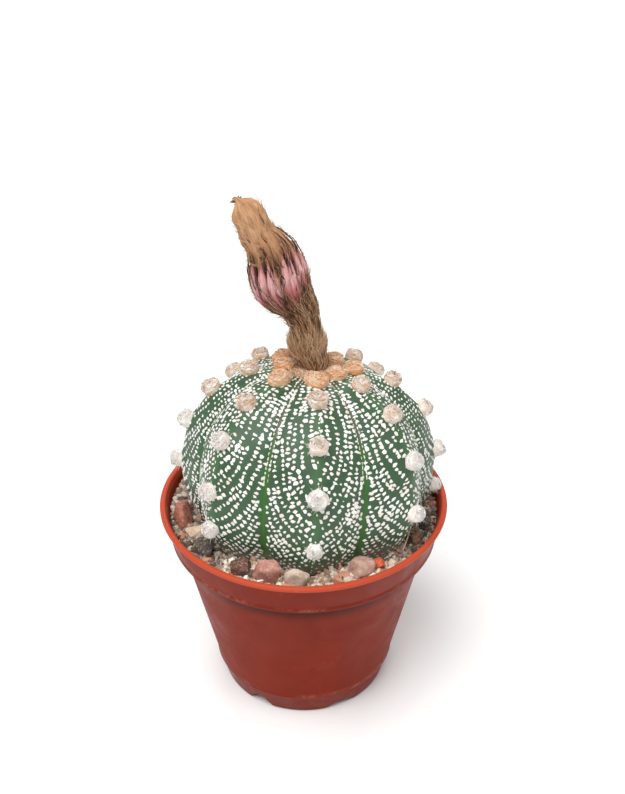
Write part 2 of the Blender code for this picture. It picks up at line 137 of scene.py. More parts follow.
# The wide overhead light: near enough to a sky panel that the whole sheet is lit alike.
sky_panel = bpy.data.lights.new("key_light", "SUN")
sky_panel.energy = PANEL_STRENGTH
sky_panel.angle = PANEL_SPREAD
key = bpy.data.objects.new("key_light", sky_panel)
key.location = (-0.26, -0.30, 0.82)
key.rotation_euler = (-key.location).to_track_quat("-Z", "Y").to_euler()
bpy.context.scene.collection.objects.link(key)

# name, where it stands, side in metres, watts
SOFT_BOXES = (
    ("fill_light", (0.55, -0.25, 0.60), 0.60, 1.5),
    ("back_light", (0.05, 0.60, 0.55), 0.60, 2.2),
)
for name, place, side, watts in SOFT_BOXES:
    lamp = bpy.data.lights.new(name, "AREA")
    lamp.shape = "SQUARE"
    lamp.size = side
    lamp.energy = watts
    light = bpy.data.objects.new(name, lamp)
    light.location = place
    aim = Vector((0, 0, 0.045)) - Vector(place)
    light.rotation_euler = aim.to_track_quat("-Z", "Y").to_euler()
    bpy.context.scene.collection.objects.link(light)

# The room's own light is weak, and its wall behind the sheet is plain white.
room = bpy.data.worlds.new("white_room")
room.use_nodes = True
room_light = room.node_tree.nodes["Background"]
room_light.inputs["Color"].default_value = (1.0, 1.0, 1.0, 1.0)
seen = add_node(room, "ShaderNodeLightPath").outputs["Is Camera Ray"]
wall = add_node(room, "ShaderNodeMapRange", {"Value": seen, "To Min": ROOM_GLOW, "To Max": ROOM_WALL})
room.node_tree.links.new(wall.outputs["Result"], room_light.inputs["Strength"])
bpy.context.scene.world = room
bpy.context.scene.view_settings.view_transform = "Standard"

# ---- Nursery pot ----
# A thin round pot with a deep collar, a rolled lip and a notched foot ring, moulded in one shot of
# brick-red polypropylene. It is a little dusty from the greenhouse bench.

pot_low, pot_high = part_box("pot")
POT_HEIGHT = pot_high.z
RIM_RADIUS = (pot_high.x - pot_low.x) / 2
BASE_RADIUS = 0.0164
POT_WALL = 0.0009
LIP_HEIGHT = 0.0011
LIP_WIDTH = 0.0012
LIP_OVERHANG = 0.0003
COLLAR_HEIGHT = 0.0070
COLLAR_TAPER = 0.0018
BEAD_HEIGHT = 0.0008
BEAD_DEPTH = 0.00030
UNDERCUT = 0.00025  # how much the wall is drawn in just under the collar
STEP_DEPTH = 0.0014
STEP_HEIGHT = 0.0008
FOOT_HEIGHT = 0.0050
FOOT_TAPER = 0.0014
FOOT_LEDGE = 0.00025
FLOOR_RISE = 0.0024
DRAIN_RADIUS = 0.0018
DRAIN_CIRCLE = 0.0108
POT_STEPS = 288
NOTCH_SLOPE = 0.30
# the sizes of its patterns: marks where the melt flowed, patches of dust, and the specks in them
FLOW_MARK = 0.00625
DUST_PATCH = 0.0105
DUST_SPECK = 0.00111
# bearing in degrees, width, height
FOOT_NOTCHES = (
    (-31, 0.0050, 0.0021),
    (26, 0.0062, 0.0011),
    (90, 0.0054, 0.0016),
    (150, 0.0054, 0.0016),
    (-150, 0.0054, 0.0016),
    (-90, 0.0054, 0.0016),
)


def heading(bearing):
    """The level direction of a bearing."""
    return Vector((math.sin(bearing), -math.cos(bearing), 0))


def pot_wall_radius(height):
    """Outer radius of the pot's wall at a height above the floor."""
    collar_foot = POT_HEIGHT - COLLAR_HEIGHT
    collar_radius = RIM_RADIUS - LIP_OVERHANG - COLLAR_TAPER
    heights = (0, FOOT_HEIGHT, collar_foot - STEP_HEIGHT, collar_foot, POT_HEIGHT)
    radii = (
        BASE_RADIUS,
        BASE_RADIUS + FOOT_TAPER,
        collar_radius - STEP_DEPTH,
        collar_radius,
        RIM_RADIUS - LIP_OVERHANG,
    )
    return float(np.interp(height, heights, radii))


def rounded(centre, radius, start, end, steps=8):
    """Points on part of a circle in the profile, angles in degrees from the outer side."""
    turns = [math.radians(start + (end - start) * i / steps) for i in range(steps + 1)]
    return [(centre[0] + radius * math.cos(t), centre[1] + radius * math.sin(t)) for t in turns]


def notch_rise(bearing):
    """How far the foot ring stands off the floor at a bearing."""
    rise = 0.0
    for middle, width, height in FOOT_NOTCHES:
        away = abs((bearing - math.radians(middle) + math.pi) % (2 * math.pi) - math.pi) * BASE_RADIUS
        edge = (width / 2 - away) / (width * NOTCH_SLOPE)
        rise = max(rise, height * min(max(edge, 0.0), 1.0))
    return rise


floor_top = FLOOR_RISE + POT_WALL
step_top = POT_HEIGHT - COLLAR_HEIGHT
step_foot = step_top - STEP_HEIGHT
lip_foot = POT_HEIGHT - LIP_HEIGHT
lip_round = LIP_HEIGHT * 0.48
lip_inside = RIM_RADIUS - LIP_WIDTH
bead_radius = pot_wall_radius(step_top) + BEAD_DEPTH
wall_foot = pot_wall_radius(FOOT_HEIGHT)
pot_profile = [(0, floor_top)]
for height in (floor_top, FOOT_HEIGHT, step_foot, step_top):
    pot_profile.append((pot_wall_radius(height) - POT_WALL, height))
pot_profile.append((min(pot_wall_radius(lip_foot) - POT_WALL, lip_inside), lip_foot))
pot_profile += rounded((lip_inside + lip_round, POT_HEIGHT - lip_round), lip_round, 180, 90)
pot_profile += rounded((RIM_RADIUS - lip_round, POT_HEIGHT - lip_round), lip_round, 90, -75)
pot_profile += rounded((pot_wall_radius(lip_foot) + 0.00022, lip_foot - 0.0002), 0.0002, 100, 180, 3)
pot_profile += [
    (pot_wall_radius(step_top + BEAD_HEIGHT * 1.5), step_top + BEAD_HEIGHT * 1.5),
    (pot_wall_radius(step_top + BEAD_HEIGHT), step_top + BEAD_HEIGHT),
    (bead_radius, step_top + BEAD_HEIGHT * 0.7),
    (bead_radius, step_top + BEAD_HEIGHT * 0.1),
    (bead_radius - 0.00015, step_top - BEAD_HEIGHT * 0.15),
    (pot_wall_radius(step_top) - STEP_DEPTH * 0.25, step_top - STEP_HEIGHT * 0.3),
    (pot_wall_radius(step_foot) - UNDERCUT * 0.6, step_foot + 0.0001),
    (pot_wall_radius(step_foot) - UNDERCUT, step_foot - 0.0004),
    (pot_wall_radius(step_foot - 0.0020) - UNDERCUT * 0.6, step_foot - 0.0020),
    (pot_wall_radius(step_foot - 0.0050), step_foot - 0.0050),
    (pot_wall_radius(FOOT_HEIGHT + 0.0008), FOOT_HEIGHT + 0.0008),
    (wall_foot + FOOT_LEDGE * 0.9, FOOT_HEIGHT + FOOT_LEDGE),
    (wall_foot + FOOT_LEDGE * 0.9, FOOT_HEIGHT),
    (wall_foot - FOOT_LEDGE * 0.3, FOOT_HEIGHT - FOOT_LEDGE),
    (BASE_RADIUS + 0.0002, 0.0004),
    (BASE_RADIUS - 0.00015, 0),
    (BASE_RADIUS - POT_WALL, 0),
    (pot_wall_radius(FLOOR_RISE) - POT_WALL, FLOOR_RISE),
    (0, FLOOR_RISE),
]

points = []
for radius, height in pot_profile:
    for step in range(POT_STEPS):
        bearing = 2 * math.pi * step / POT_STEPS
        rise = height
        reach = radius
        if height < 0.001 and radius > 0:
            rise = height + notch_rise(bearing)
            reach = radius + pot_wall_radius(rise) - pot_wall_radius(height)
        points.append(heading(bearing) * reach + Vector((0, 0, rise)))
faces = []
for ring in range(len(pot_profile) - 1):
    for step in range(POT_STEPS):
        after = (step + 1) % POT_STEPS
        low = ring * POT_STEPS
        faces.append((low + step, low + POT_STEPS + step, low + POT_STEPS + after, low + after))

# Moulded polypropylene: satin, brick red, a faint flow pattern, painted light that makes the thin lip
# paler where it lets light through, painted shade in a band under the collar, and a patchy film of pale
# greenhouse dust.
pot_plastic, shader = new_material("moulded_polypropylene", roughness=0.42, ior=1.49)
place = add_node(pot_plastic, "ShaderNodeTexCoord").outputs["Object"]
flow = add_node(
    pot_plastic,
    "ShaderNodeTexNoise",
    {"Vector": place, "Scale": 1 / FLOW_MARK, "Detail": 3.0, "Roughness": 0.6},
)
red = add_node(
    pot_plastic,
    "ShaderNodeMix",
    {"Factor": flow.outputs["Fac"], 6: linear("6C1C08"), 7: linear("8A280F")},
    data_type="RGBA",
)
level = add_node(pot_plastic, "ShaderNodeSeparateXYZ", {"Vector": place}).outputs["Z"]
# Painted light: the thin lip is coloured paler, for the light that comes through it.
lip_glow_share = add_node(
    pot_plastic,
    "ShaderNodeMapRange",
    {"Value": level, "From Min": lip_foot - 0.0003, "From Max": lip_foot + 0.0004},
)
lip_glow_red = add_node(
    pot_plastic,
    "ShaderNodeMix",
    {"Factor": lip_glow_share.outputs["Result"], 6: red.outputs[2], 7: linear("B9492F")},
    data_type="RGBA",
)
# Painted shade: a dark band on the wall just under the collar, where its shadow falls.
below = add_node(
    pot_plastic,
    "ShaderNodeMapRange",
    {"Value": level, "From Min": step_foot - 0.0042, "From Max": step_foot - 0.0004, "To Max": 0.95},
    interpolation_type="SMOOTHSTEP",
)
above = add_node(
    pot_plastic,
    "ShaderNodeMapRange",
    {"Value": level, "From Min": step_top + 0.0001, "From Max": step_top - 0.0003},
)
collar_shade_share = add_node(
    pot_plastic,
    "ShaderNodeMath",
    {0: below.outputs["Result"], 1: above.outputs["Result"]},
    operation="MULTIPLY",
)
collar_shade = add_node(
    pot_plastic,
    "ShaderNodeMix",
    {"Factor": collar_shade_share.outputs["Value"], 6: lip_glow_red.outputs[2], 7: linear("3C1006")},
    data_type="RGBA",
)
smear = add_node(
    pot_plastic,
    "ShaderNodeTexNoise",
    {"Vector": place, "Scale": 1 / DUST_PATCH, "Detail": 6.0, "Roughness": 0.72, "Distortion": 0.6},
)
speck = add_node(
    pot_plastic,
    "ShaderNodeTexNoise",
    {"Vector": place, "Scale": 1 / DUST_SPECK, "Detail": 3.0, "Roughness": 0.7},
)
film = add_node(
    pot_plastic,
    "ShaderNodeMapRange",
    {"Value": smear.outputs["Fac"], "From Min": 0.57, "From Max": 0.77, "To Max": 0.34},
)
grit = add_node(
    pot_plastic,
    "ShaderNodeMapRange",
    {"Value": speck.outputs["Fac"], "From Min": 0.35, "From Max": 0.75},
)
dust_share = add_node(
    pot_plastic,
    "ShaderNodeMath",
    {0: film.outputs["Result"], 1: grit.outputs["Result"]},
    operation="MULTIPLY",
)
dusty = add_node(
    pot_plastic,
    "ShaderNodeMix",
    {"Factor": dust_share.outputs["Value"], 6: collar_shade.outputs[2], 7: linear("AA7460")},
    data_type="RGBA",
)
# Pale lime and dust lie thicker on the bead of the collar and on the ledge of the foot: the height of
# each, and how far its dust spreads.
DUSTY_LEDGES = (
    (step_top + BEAD_HEIGHT * 0.7, 0.0006),
    (FOOT_HEIGHT + FOOT_LEDGE, 0.0009),
)
on_ledge = 0.0
for ledge_height, spread in DUSTY_LEDGES:
    off = add_node(pot_plastic, "ShaderNodeMath", {0: level, 1: ledge_height}, operation="SUBTRACT")
    away = add_node(pot_plastic, "ShaderNodeMath", {0: off.outputs["Value"]}, operation="ABSOLUTE")
    near = add_node(
        pot_plastic,
        "ShaderNodeMapRange",
        {"Value": away.outputs["Value"], "From Min": spread, "From Max": 0.0},
    )
    both = add_node(
        pot_plastic, "ShaderNodeMath", {0: near.outputs["Result"], 1: on_ledge}, operation="ADD"
    )
    on_ledge = both.outputs["Value"]
ledge_patch = add_node(
    pot_plastic,
    "ShaderNodeMapRange",
    {"Value": smear.outputs["Fac"], "From Min": 0.44, "From Max": 0.70, "To Max": 0.85},
)
ledge_grit = add_node(
    pot_plastic,
    "ShaderNodeMath",
    {0: ledge_patch.outputs["Result"], 1: grit.outputs["Result"]},
    operation="MULTIPLY",
)
ledge_share = add_node(
    pot_plastic,
    "ShaderNodeMath",
    {0: ledge_grit.outputs["Value"], 1: on_ledge},
    operation="MULTIPLY",
    use_clamp=True,
)
ledged = add_node(
    pot_plastic,
    "ShaderNodeMix",
    {"Factor": ledge_share.outputs["Value"], 6: dusty.outputs[2], 7: linear("A9897A")},
    data_type="RGBA",
)
feed(pot_plastic, shader, "Base Color", ledged.outputs[2])
dull = add_node(
    pot_plastic,
    "ShaderNodeMapRange",
    {"Value": smear.outputs["Fac"], "From Min": 0.35, "From Max": 0.7, "To Min": 0.34, "To Max": 0.62},
)
feed(pot_plastic, shader, "Roughness", dull.outputs["Result"])
shader.inputs["Specular IOR Level"].default_value = 0.12
skin_bump = add_node(
    pot_plastic,
    "ShaderNodeBump",
    {"Height": speck.outputs["Fac"], "Strength": 0.12, "Distance": 0.0001},
)
feed(pot_plastic, shader, "Normal", skin_bump.outputs["Normal"])

pot = make_piece("nursery_pot", points, faces, pot_plastic)
shape = bmesh.new()
shape.from_mesh(pot.data)
bmesh.ops.remove_doubles(shape, verts=shape.verts, dist=1e-7)
bmesh.ops.recalc_face_normals(shape, faces=shape.faces)
shape.to_mesh(pot.data)
shape.free()
drills = bmesh.new()
for bearing, _, _ in FOOT_NOTCHES:
    middle = heading(math.radians(bearing)) * DRAIN_CIRCLE + Vector((0, 0, FLOOR_RISE))
    bmesh.ops.create_cone(
        drills,
        cap_ends=True,
        segments=32,
        radius1=DRAIN_RADIUS,
        radius2=DRAIN_RADIUS,
        depth=4 * POT_WALL,
        matrix=Matrix.Translation(middle),
    )
drill_mesh = bpy.data.meshes.new("drills")
drills.to_mesh(drill_mesh)
drills.free()
drill = bpy.data.objects.new("drills", drill_mesh)
bpy.context.scene.collection.objects.link(drill)
holes = pot.modifiers.new("drain_holes", "BOOLEAN")
holes.object = drill
holes.operation = "DIFFERENCE"
holes.solver = "EXACT"
graph = bpy.context.evaluated_depsgraph_get()
drilled = bpy.data.meshes.new_from_object(pot.evaluated_get(graph))
pot.modifiers.clear()
pot.data = drilled
bpy.data.objects.remove(drill)
pot.data.shade_smooth()
pot.data.set_sharp_from_angle(angle=math.radians(38))
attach(pot, "root")
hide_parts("pot")

# ---- Cactus body ----
# One fleshy globe with eight ribs, which leans a little to the back. Its skin is tough, waxy and
# deep green, and a sharp furrow runs between each pair of ribs. It is sunk in the soil.

PLANT_STAND = Vector((0.0006, -0.0008, POT_HEIGHT))
PLANT_LEAN = math.radians(9.7)
LEAN_TOWARDS = math.radians(161)
WIDEST_RISE = 0.0068
BODY_COLUMNS = 352
BODY_ROWS = 150
LOWEST_ROW = math.radians(128)
CREASE_DEPTH = 0.00032
# the skin's markings and its painted rib highlight, all in millimetres: the globe's mean radius, and
# how wide each is
BODY_MILLIMETRES = 23.5
CREASE_WIDTH = 0.50
SEAM_WIDTH = 0.16
RIB_HIGHLIGHT_WIDTH = 0.75
# the sizes of its patterns, in metres: cells of the mottling, splashes of soil, and pores
MOTTLE_CELL = 0.00303
SPLASH_CELL = 0.00143
PORE_SPACING = 0.000263
BODY_FOOT = 0.0165  # how far under its heart the globe closes, in the soil
# rib and its bearing in degrees
RIBS = (
    ("front", 3),
    ("front_right", 51),
    ("right", 94),
    ("back_right", 140),
    ("back", 183),
    ("back_left", 228),
    ("left", 270),
    ("front_left", 314),
)

lean_axis = Vector((0, 0, 1)).cross(heading(LEAN_TOWARDS))
plant = Matrix.Translation(PLANT_STAND) @ Matrix.Rotation(PLANT_LEAN, 4, lean_axis)
plant_turn = plant.to_3x3()
heart = plant @ Vector((0, 0, WIDEST_RISE))
ridges = [math.radians(bearing) for _, bearing in RIBS]


def cad_tree(*names):
    """A raycasting tree over CAD nodes, in world space."""
    corners = []
    triangles = []
    for name in names:
        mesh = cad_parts[name].data
        start = len(corners)
        corners += [vertex.co.copy() for vertex in mesh.vertices]
        triangles += [[start + v for v in polygon.vertices] for polygon in mesh.polygons]
    return BVHTree.FromPolygons(corners, triangles)


def furrow_share(bearing):
    """0 on the ridge of a rib, 1 in the furrow beside it."""
    bearing %= 2 * math.pi
    for low, high in zip(ridges, ridges[1:] + [ridges[0] + 2 * math.pi]):
        for turn in (0, 2 * math.pi):
            if low <= bearing + turn <= high:
                share = (bearing + turn - low) / (high - low)
                return 1 - abs(2 * share - 1)
    return 0.0


def row_angle(row):
    """How far a row of the skin lies from the crown, as an angle at the heart of the body."""
    return LOWEST_ROW * row / (BODY_ROWS - 1)


body_tree = cad_tree("cactus_body")
reach = np.zeros((BODY_ROWS, BODY_COLUMNS))
for row in range(BODY_ROWS):
    tilt = row_angle(row)
    for column in range(BODY_COLUMNS):
        bearing = 2 * math.pi * column / BODY_COLUMNS
        aim = heading(bearing) * math.sin(tilt) + Vector((0, 0, math.cos(tilt)))
        hit = body_tree.ray_cast(heart, plant_turn @ aim)
        reach[row, column] = hit[3] if hit[0] is not None else reach[row - 1, column]
for _ in range(3):
    reach = (np.roll(reach, 1, 1) + 2 * reach + np.roll(reach, -1, 1)) / 4
    reach[1:-1] = (reach[:-2] + 2 * reach[1:-1] + reach[2:]) / 4
reach[0] = reach[0].mean()
column_share = [furrow_share(2 * math.pi * c / BODY_COLUMNS) for c in range(BODY_COLUMNS)]
for row in range(BODY_ROWS):
    side = math.sin(row_angle(row)) ** 0.5
    for column, share in enumerate(column_share):
        reach[row, column] -= CREASE_DEPTH * math.exp(-(((1 - share) / 0.05) ** 2)) * side


def skin_point(bearing, tilt):
    """A point of the finished skin, in world space."""
    across = (bearing / (2 * math.pi) * BODY_COLUMNS) % BODY_COLUMNS
    down = min(max(tilt / LOWEST_ROW * (BODY_ROWS - 1), 0), BODY_ROWS - 1.001)
    row, column = int(down), int(across) % BODY_COLUMNS
    a, b = down - row, across - int(across)
    after = (column + 1) % BODY_COLUMNS
    top = reach[row, column] * (1 - b) + reach[row, after] * b
    low = reach[row + 1, column] * (1 - b) + reach[row + 1, after] * b
    aim = heading(bearing) * math.sin(tilt) + Vector((0, 0, math.cos(tilt)))
    return heart + plant_turn @ aim * (top * (1 - a) + low * a)


def skin_frame(bearing, tilt):
    """A point of the skin, its normal, and the ways round and down the body there."""
    point = skin_point(bearing, tilt)
    step = 0.012
    wide = step / max(math.sin(tilt), 0.05)
    around = skin_point(bearing + wide, tilt) - skin_point(bearing - wide, tilt)
    down = skin_point(bearing, tilt + step) - skin_point(bearing, max(tilt - step, 0.001))
    normal = down.cross(around).normalized()
    around = around.normalized()
    return point, normal, around, around.cross(normal).normalized()


def smooth_step(low, high, value):
    """0 below low, 1 above high, and a soft ramp between."""
    share = min(max((value - low) / (high - low), 0.0), 1.0)
    return share * share * (3 - 2 * share)


def add_mask(piece, name, values):
    """A number on each point of a piece, for its material to read."""
    mask = piece.data.attributes.new(name, "FLOAT", "POINT")
    mask.data.foreach_set("value", [float(value) for value in values])


soil_low, soil_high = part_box("soil")
points = []
crease_mask = []
seam_mask = []
rib_highlight_mask = []
dust_mask = []
for row in range(BODY_ROWS):
    tilt = row_angle(row)
    for column in range(BODY_COLUMNS):
        bearing = 2 * math.pi * column / BODY_COLUMNS
        point = skin_point(bearing, tilt)
        # It is never quite smooth: swellings of about 4 mm, and dimples of about 1 mm.
        wave = noise.noise(point * 260) * 0.00012 + noise.noise(point * 900) * 0.00003
        outward = (point - heart).normalized()
        points.append(point + outward * wave)
        share = column_share[column]
        lower = smooth_step(math.radians(46), math.radians(66), tilt)
        off_furrow = math.sin(tilt) * BODY_MILLIMETRES * (1 - share) * math.pi / 8
        crease_mask.append(math.exp(-((off_furrow / CREASE_WIDTH) ** 2)) * lower)
        seam_mask.append(math.exp(-((off_furrow / SEAM_WIDTH) ** 2)) * (1 - lower * 0.8))
        off_ridge = math.sin(tilt) * BODY_MILLIMETRES * share * math.pi / 8
        rib_highlight_mask.append(math.exp(-((off_ridge / RIB_HIGHLIGHT_WIDTH) ** 2)))
        dust_mask.append(1 - smooth_step(soil_high.z - 0.001, soil_high.z + 0.0035, point.z))
faces = []
for row in range(BODY_ROWS - 1):
    for column in range(BODY_COLUMNS):
        after = (column + 1) % BODY_COLUMNS
        low = row * BODY_COLUMNS
        faces.append((low + column, low + BODY_COLUMNS + column, low + BODY_COLUMNS + after, low + after))
points.append(heart - plant_turn @ Vector((0, 0, BODY_FOOT)))
bottom = (BODY_ROWS - 1) * BODY_COLUMNS
for column in range(BODY_COLUMNS):
    faces.append((bottom + column, len(points) - 1, bottom + (column + 1) % BODY_COLUMNS))
for mask in (crease_mask, seam_mask, rib_highlight_mask, dust_mask):
    mask.append(0.0)

# Waxy epidermis: a soft gloss over deep green flesh. It is brighter and bare along the furrows, with a
# painted highlight of lighter green along the ribs, mottled, pored like fine leather, and dusted grey
# where soil splashes.
skin, shader = new_material("waxy_epidermis", roughness=0.46, ior=1.44)
place = add_node(skin, "ShaderNodeTexCoord").outputs["Object"]
mottle = add_node(
    skin, "ShaderNodeTexNoise", {"Vector": place, "Scale": 1 / MOTTLE_CELL, "Detail": 5.0, "Roughness": 0.6}
)
green = add_node(
    skin,
    "ShaderNodeMix",
    {"Factor": mottle.outputs["Fac"], 6: linear("27402C"), 7: linear("446645")},
    data_type="RGBA",
)
# Painted highlight: lighter green along the ridge of each rib.
on_rib_highlight = add_node(skin, "ShaderNodeAttribute", attribute_name="rib").outputs["Fac"]
rib_highlight_share = add_node(skin, "ShaderNodeMath", {0: on_rib_highlight, 1: 0.42}, operation="MULTIPLY")
ribbed = add_node(
    skin,
    "ShaderNodeMix",
    {"Factor": rib_highlight_share.outputs["Value"], 6: green.outputs[2], 7: linear("487645")},
    data_type="RGBA",
)
in_crease = add_node(skin, "ShaderNodeAttribute", attribute_name="crease").outputs["Fac"]
creased = add_node(
    skin,
    "ShaderNodeMix",
    {"Factor": in_crease, 6: ribbed.outputs[2], 7: linear("2B6A18")},
    data_type="RGBA",
)
in_seam = add_node(skin, "ShaderNodeAttribute", attribute_name="seam").outputs["Fac"]
seamed = add_node(
    skin,
    "ShaderNodeMix",
    {"Factor": in_seam, 6: creased.outputs[2], 7: linear("5A5E40")},
    data_type="RGBA",
)
near_soil = add_node(skin, "ShaderNodeAttribute", attribute_name="dust").outputs["Fac"]
splash = add_node(
    skin, "ShaderNodeTexNoise", {"Vector": place, "Scale": 1 / SPLASH_CELL, "Detail": 4.0, "Roughness": 0.7}
)
splash_share = add_node(
    skin, "ShaderNodeMath", {0: near_soil, 1: splash.outputs["Fac"]}, operation="MULTIPLY"
)
dusted = add_node(
    skin,
    "ShaderNodeMix",
    {"Factor": splash_share.outputs["Value"], 6: seamed.outputs[2], 7: linear("A8A294")},
    data_type="RGBA",
)
feed(skin, shader, "Base Color", dusted.outputs[2])
pores = add_node(skin, "ShaderNodeTexVoronoi", {"Vector": place, "Scale": 1 / PORE_SPACING})
pore_bump = add_node(
    skin,
    "ShaderNodeBump",
    {"Height": pores.outputs["Distance"], "Strength": 0.25, "Distance": 0.00008},
)
feed(skin, shader, "Normal", pore_bump.outputs["Normal"])
waxy = add_node(
    skin,
    "ShaderNodeMapRange",
    {"Value": mottle.outputs["Fac"], "From Min": 0.3, "From Max": 0.7, "To Min": 0.38, "To Max": 0.58},
)
feed(skin, shader, "Roughness", waxy.outputs["Result"])

body = make_piece("ribbed_body", points, faces, skin)
add_mask(body, "crease", crease_mask)
add_mask(body, "seam", seam_mask)
add_mask(body, "rib", rib_highlight_mask)
add_mask(body, "dust", dust_mask)
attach(body, "root")
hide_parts("cactus_body")

# ---- White flecks of the skin ----
# Each fleck is a tiny tuft of felted white hairs that grows from the skin. They stand in rows, which
# run down beside the furrows and then fan out to the ribs, and they are denser on the flanks.

ROW_STEP = 0.00025  # how finely a row is traced
ROWS_TOP = 0.0036  # how far from the crown the rows start
# between rows and between the flecks of a row, and the same on the front of the body, where they thin out
ROW_SPACING = 0.00096
FLECK_SPACING = 0.00072
FRONT_ROW_SPACING = 0.00103
FRONT_FLECK_SPACING = 0.00078
PAD_CLEARANCE = 0.00185  # no fleck grows nearer than this to the middle of a pad
FLECK_SEED = 5

pad_centres = []
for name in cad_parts:
    if name.startswith(("areole_", "crown_wool_")):
        low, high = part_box(name)
        pad_centres.append((name, (low + high) / 2))


def panel_profile(bearing):
    """Arc length down the body at a bearing, its tilt angles, and the radius there from the axis."""
    tilts = [LOWEST_ROW * i / 199 for i in range(200)]
    line = [skin_point(bearing, tilt) for tilt in tilts]
    lengths = np.concatenate([[0], np.cumsum([(b - a).length for a, b in zip(line, line[1:])])])
    spans = [math.sin(t) * (p - heart).length for t, p in zip(tilts, line)]
    return np.array(tilts), lengths, np.array(spans)


def flow_rows(width_at, length, spacing, top, seed):
    """Even rows that fill one panel between a furrow and a ridge, as lists of (across, down)."""
    random = np.random.default_rng(seed)
    bend = random.uniform(0.9, 1.1)

    def way(x, y):
        width = max(width_at(y), 1e-5)
        share = min(max(x / width, 0), 1)
        slope = math.atan(share * (width_at(y + 0.0005) - width_at(y - 0.0005)) / 0.001)
        fan = math.radians(74) * bend * smooth_step(0.30, 0.92, y / length) * (0.30 + 0.70 * share)
        wander = noise.noise(Vector((x * 330, y * 330, seed))) * 0.55 * smooth_step(0.001, 0.003, x)
        return math.sin(slope + fan + wander), math.cos(slope + fan + wander)

    def inside(x, y):
        return top < y < length and 0.35 * spacing < x < width_at(y) - 0.28 * spacing

    rows = []
    taken = np.zeros((0, 2))

    def grow(x, y):
        line = [(x, y)]
        for sense in (1, -1):
            px, py = x, y
            for _ in range(400):
                dx, dy = way(px, py)
                px += dx * ROW_STEP * sense
                py += dy * ROW_STEP * sense
                if not inside(px, py):
                    break
                if len(taken) and np.hypot(taken[:, 0] - px, taken[:, 1] - py).min() < 0.74 * spacing:
                    break
                if sense > 0:
                    line.append((px, py))
                else:
                    line.insert(0, (px, py))
        return line

    waiting = [(0.6 * spacing, length * 0.35)]
    waiting += [(width_at(y) * s, y) for y in (length * 0.5, length * 0.8, length * 0.2) for s in (0.3, 0.7)]
    while waiting:
        x, y = waiting.pop(0)
        if not inside(x, y):
            continue
        if len(taken) and np.hypot(taken[:, 0] - x, taken[:, 1] - y).min() < 0.97 * spacing:
            continue
        line = grow(x, y)
        rows.append(line)
        taken = np.vstack([taken, np.array(line)])
        for px, py in line[::3]:
            dx, dy = way(px, py)
            waiting.append((px + dy * spacing, py - dx * spacing))
            waiting.append((px - dy * spacing, py + dx * spacing))
    return rows


fleck_points = []
fleck_faces = []
fleck_tint = []


def add_fleck(bearing, tilt, along, half_across, half_along, corners, random, tint):
    """One low felt tuft. along is the way of its row: right and down, in the skin's own plane."""
    centre, normal, around, down = skin_frame(bearing, tilt)
    if any((pad - centre).length < PAD_CLEARANCE for _, pad in pad_centres):
        return
    row_way = (around * along[0] + down * along[1]).normalized()
    cross_way = row_way.cross(normal).normalized()
    start = len(fleck_points)
    offset = random.uniform(0, 2 * math.pi)
    outline = []
    for corner in range(corners):
        turn = offset + 2 * math.pi * (corner + random.uniform(-0.28, 0.28)) / corners
        size = random.uniform(0.66, 1.24)
        outline.append((math.cos(turn) * half_across * size, math.sin(turn) * half_along * size))
    height = random.uniform(0.00006, 0.00011)
    for lift, scale in ((-0.00006, 1.08), (height * 0.75, 0.86)):
        for x, y in outline:
            fleck_points.append(centre + (cross_way * x + row_way * y) * scale + normal * lift)
    fleck_points.append(centre + normal * height)
    top = start + corners
    for corner in range(corners):
        after = (corner + 1) % corners
        fleck_faces.append((start + corner, start + after, top + after, top + corner))
        fleck_faces.append((top + corner, top + after, start + 2 * corners))
    fleck_tint.extend([tint] * (2 * corners + 1))


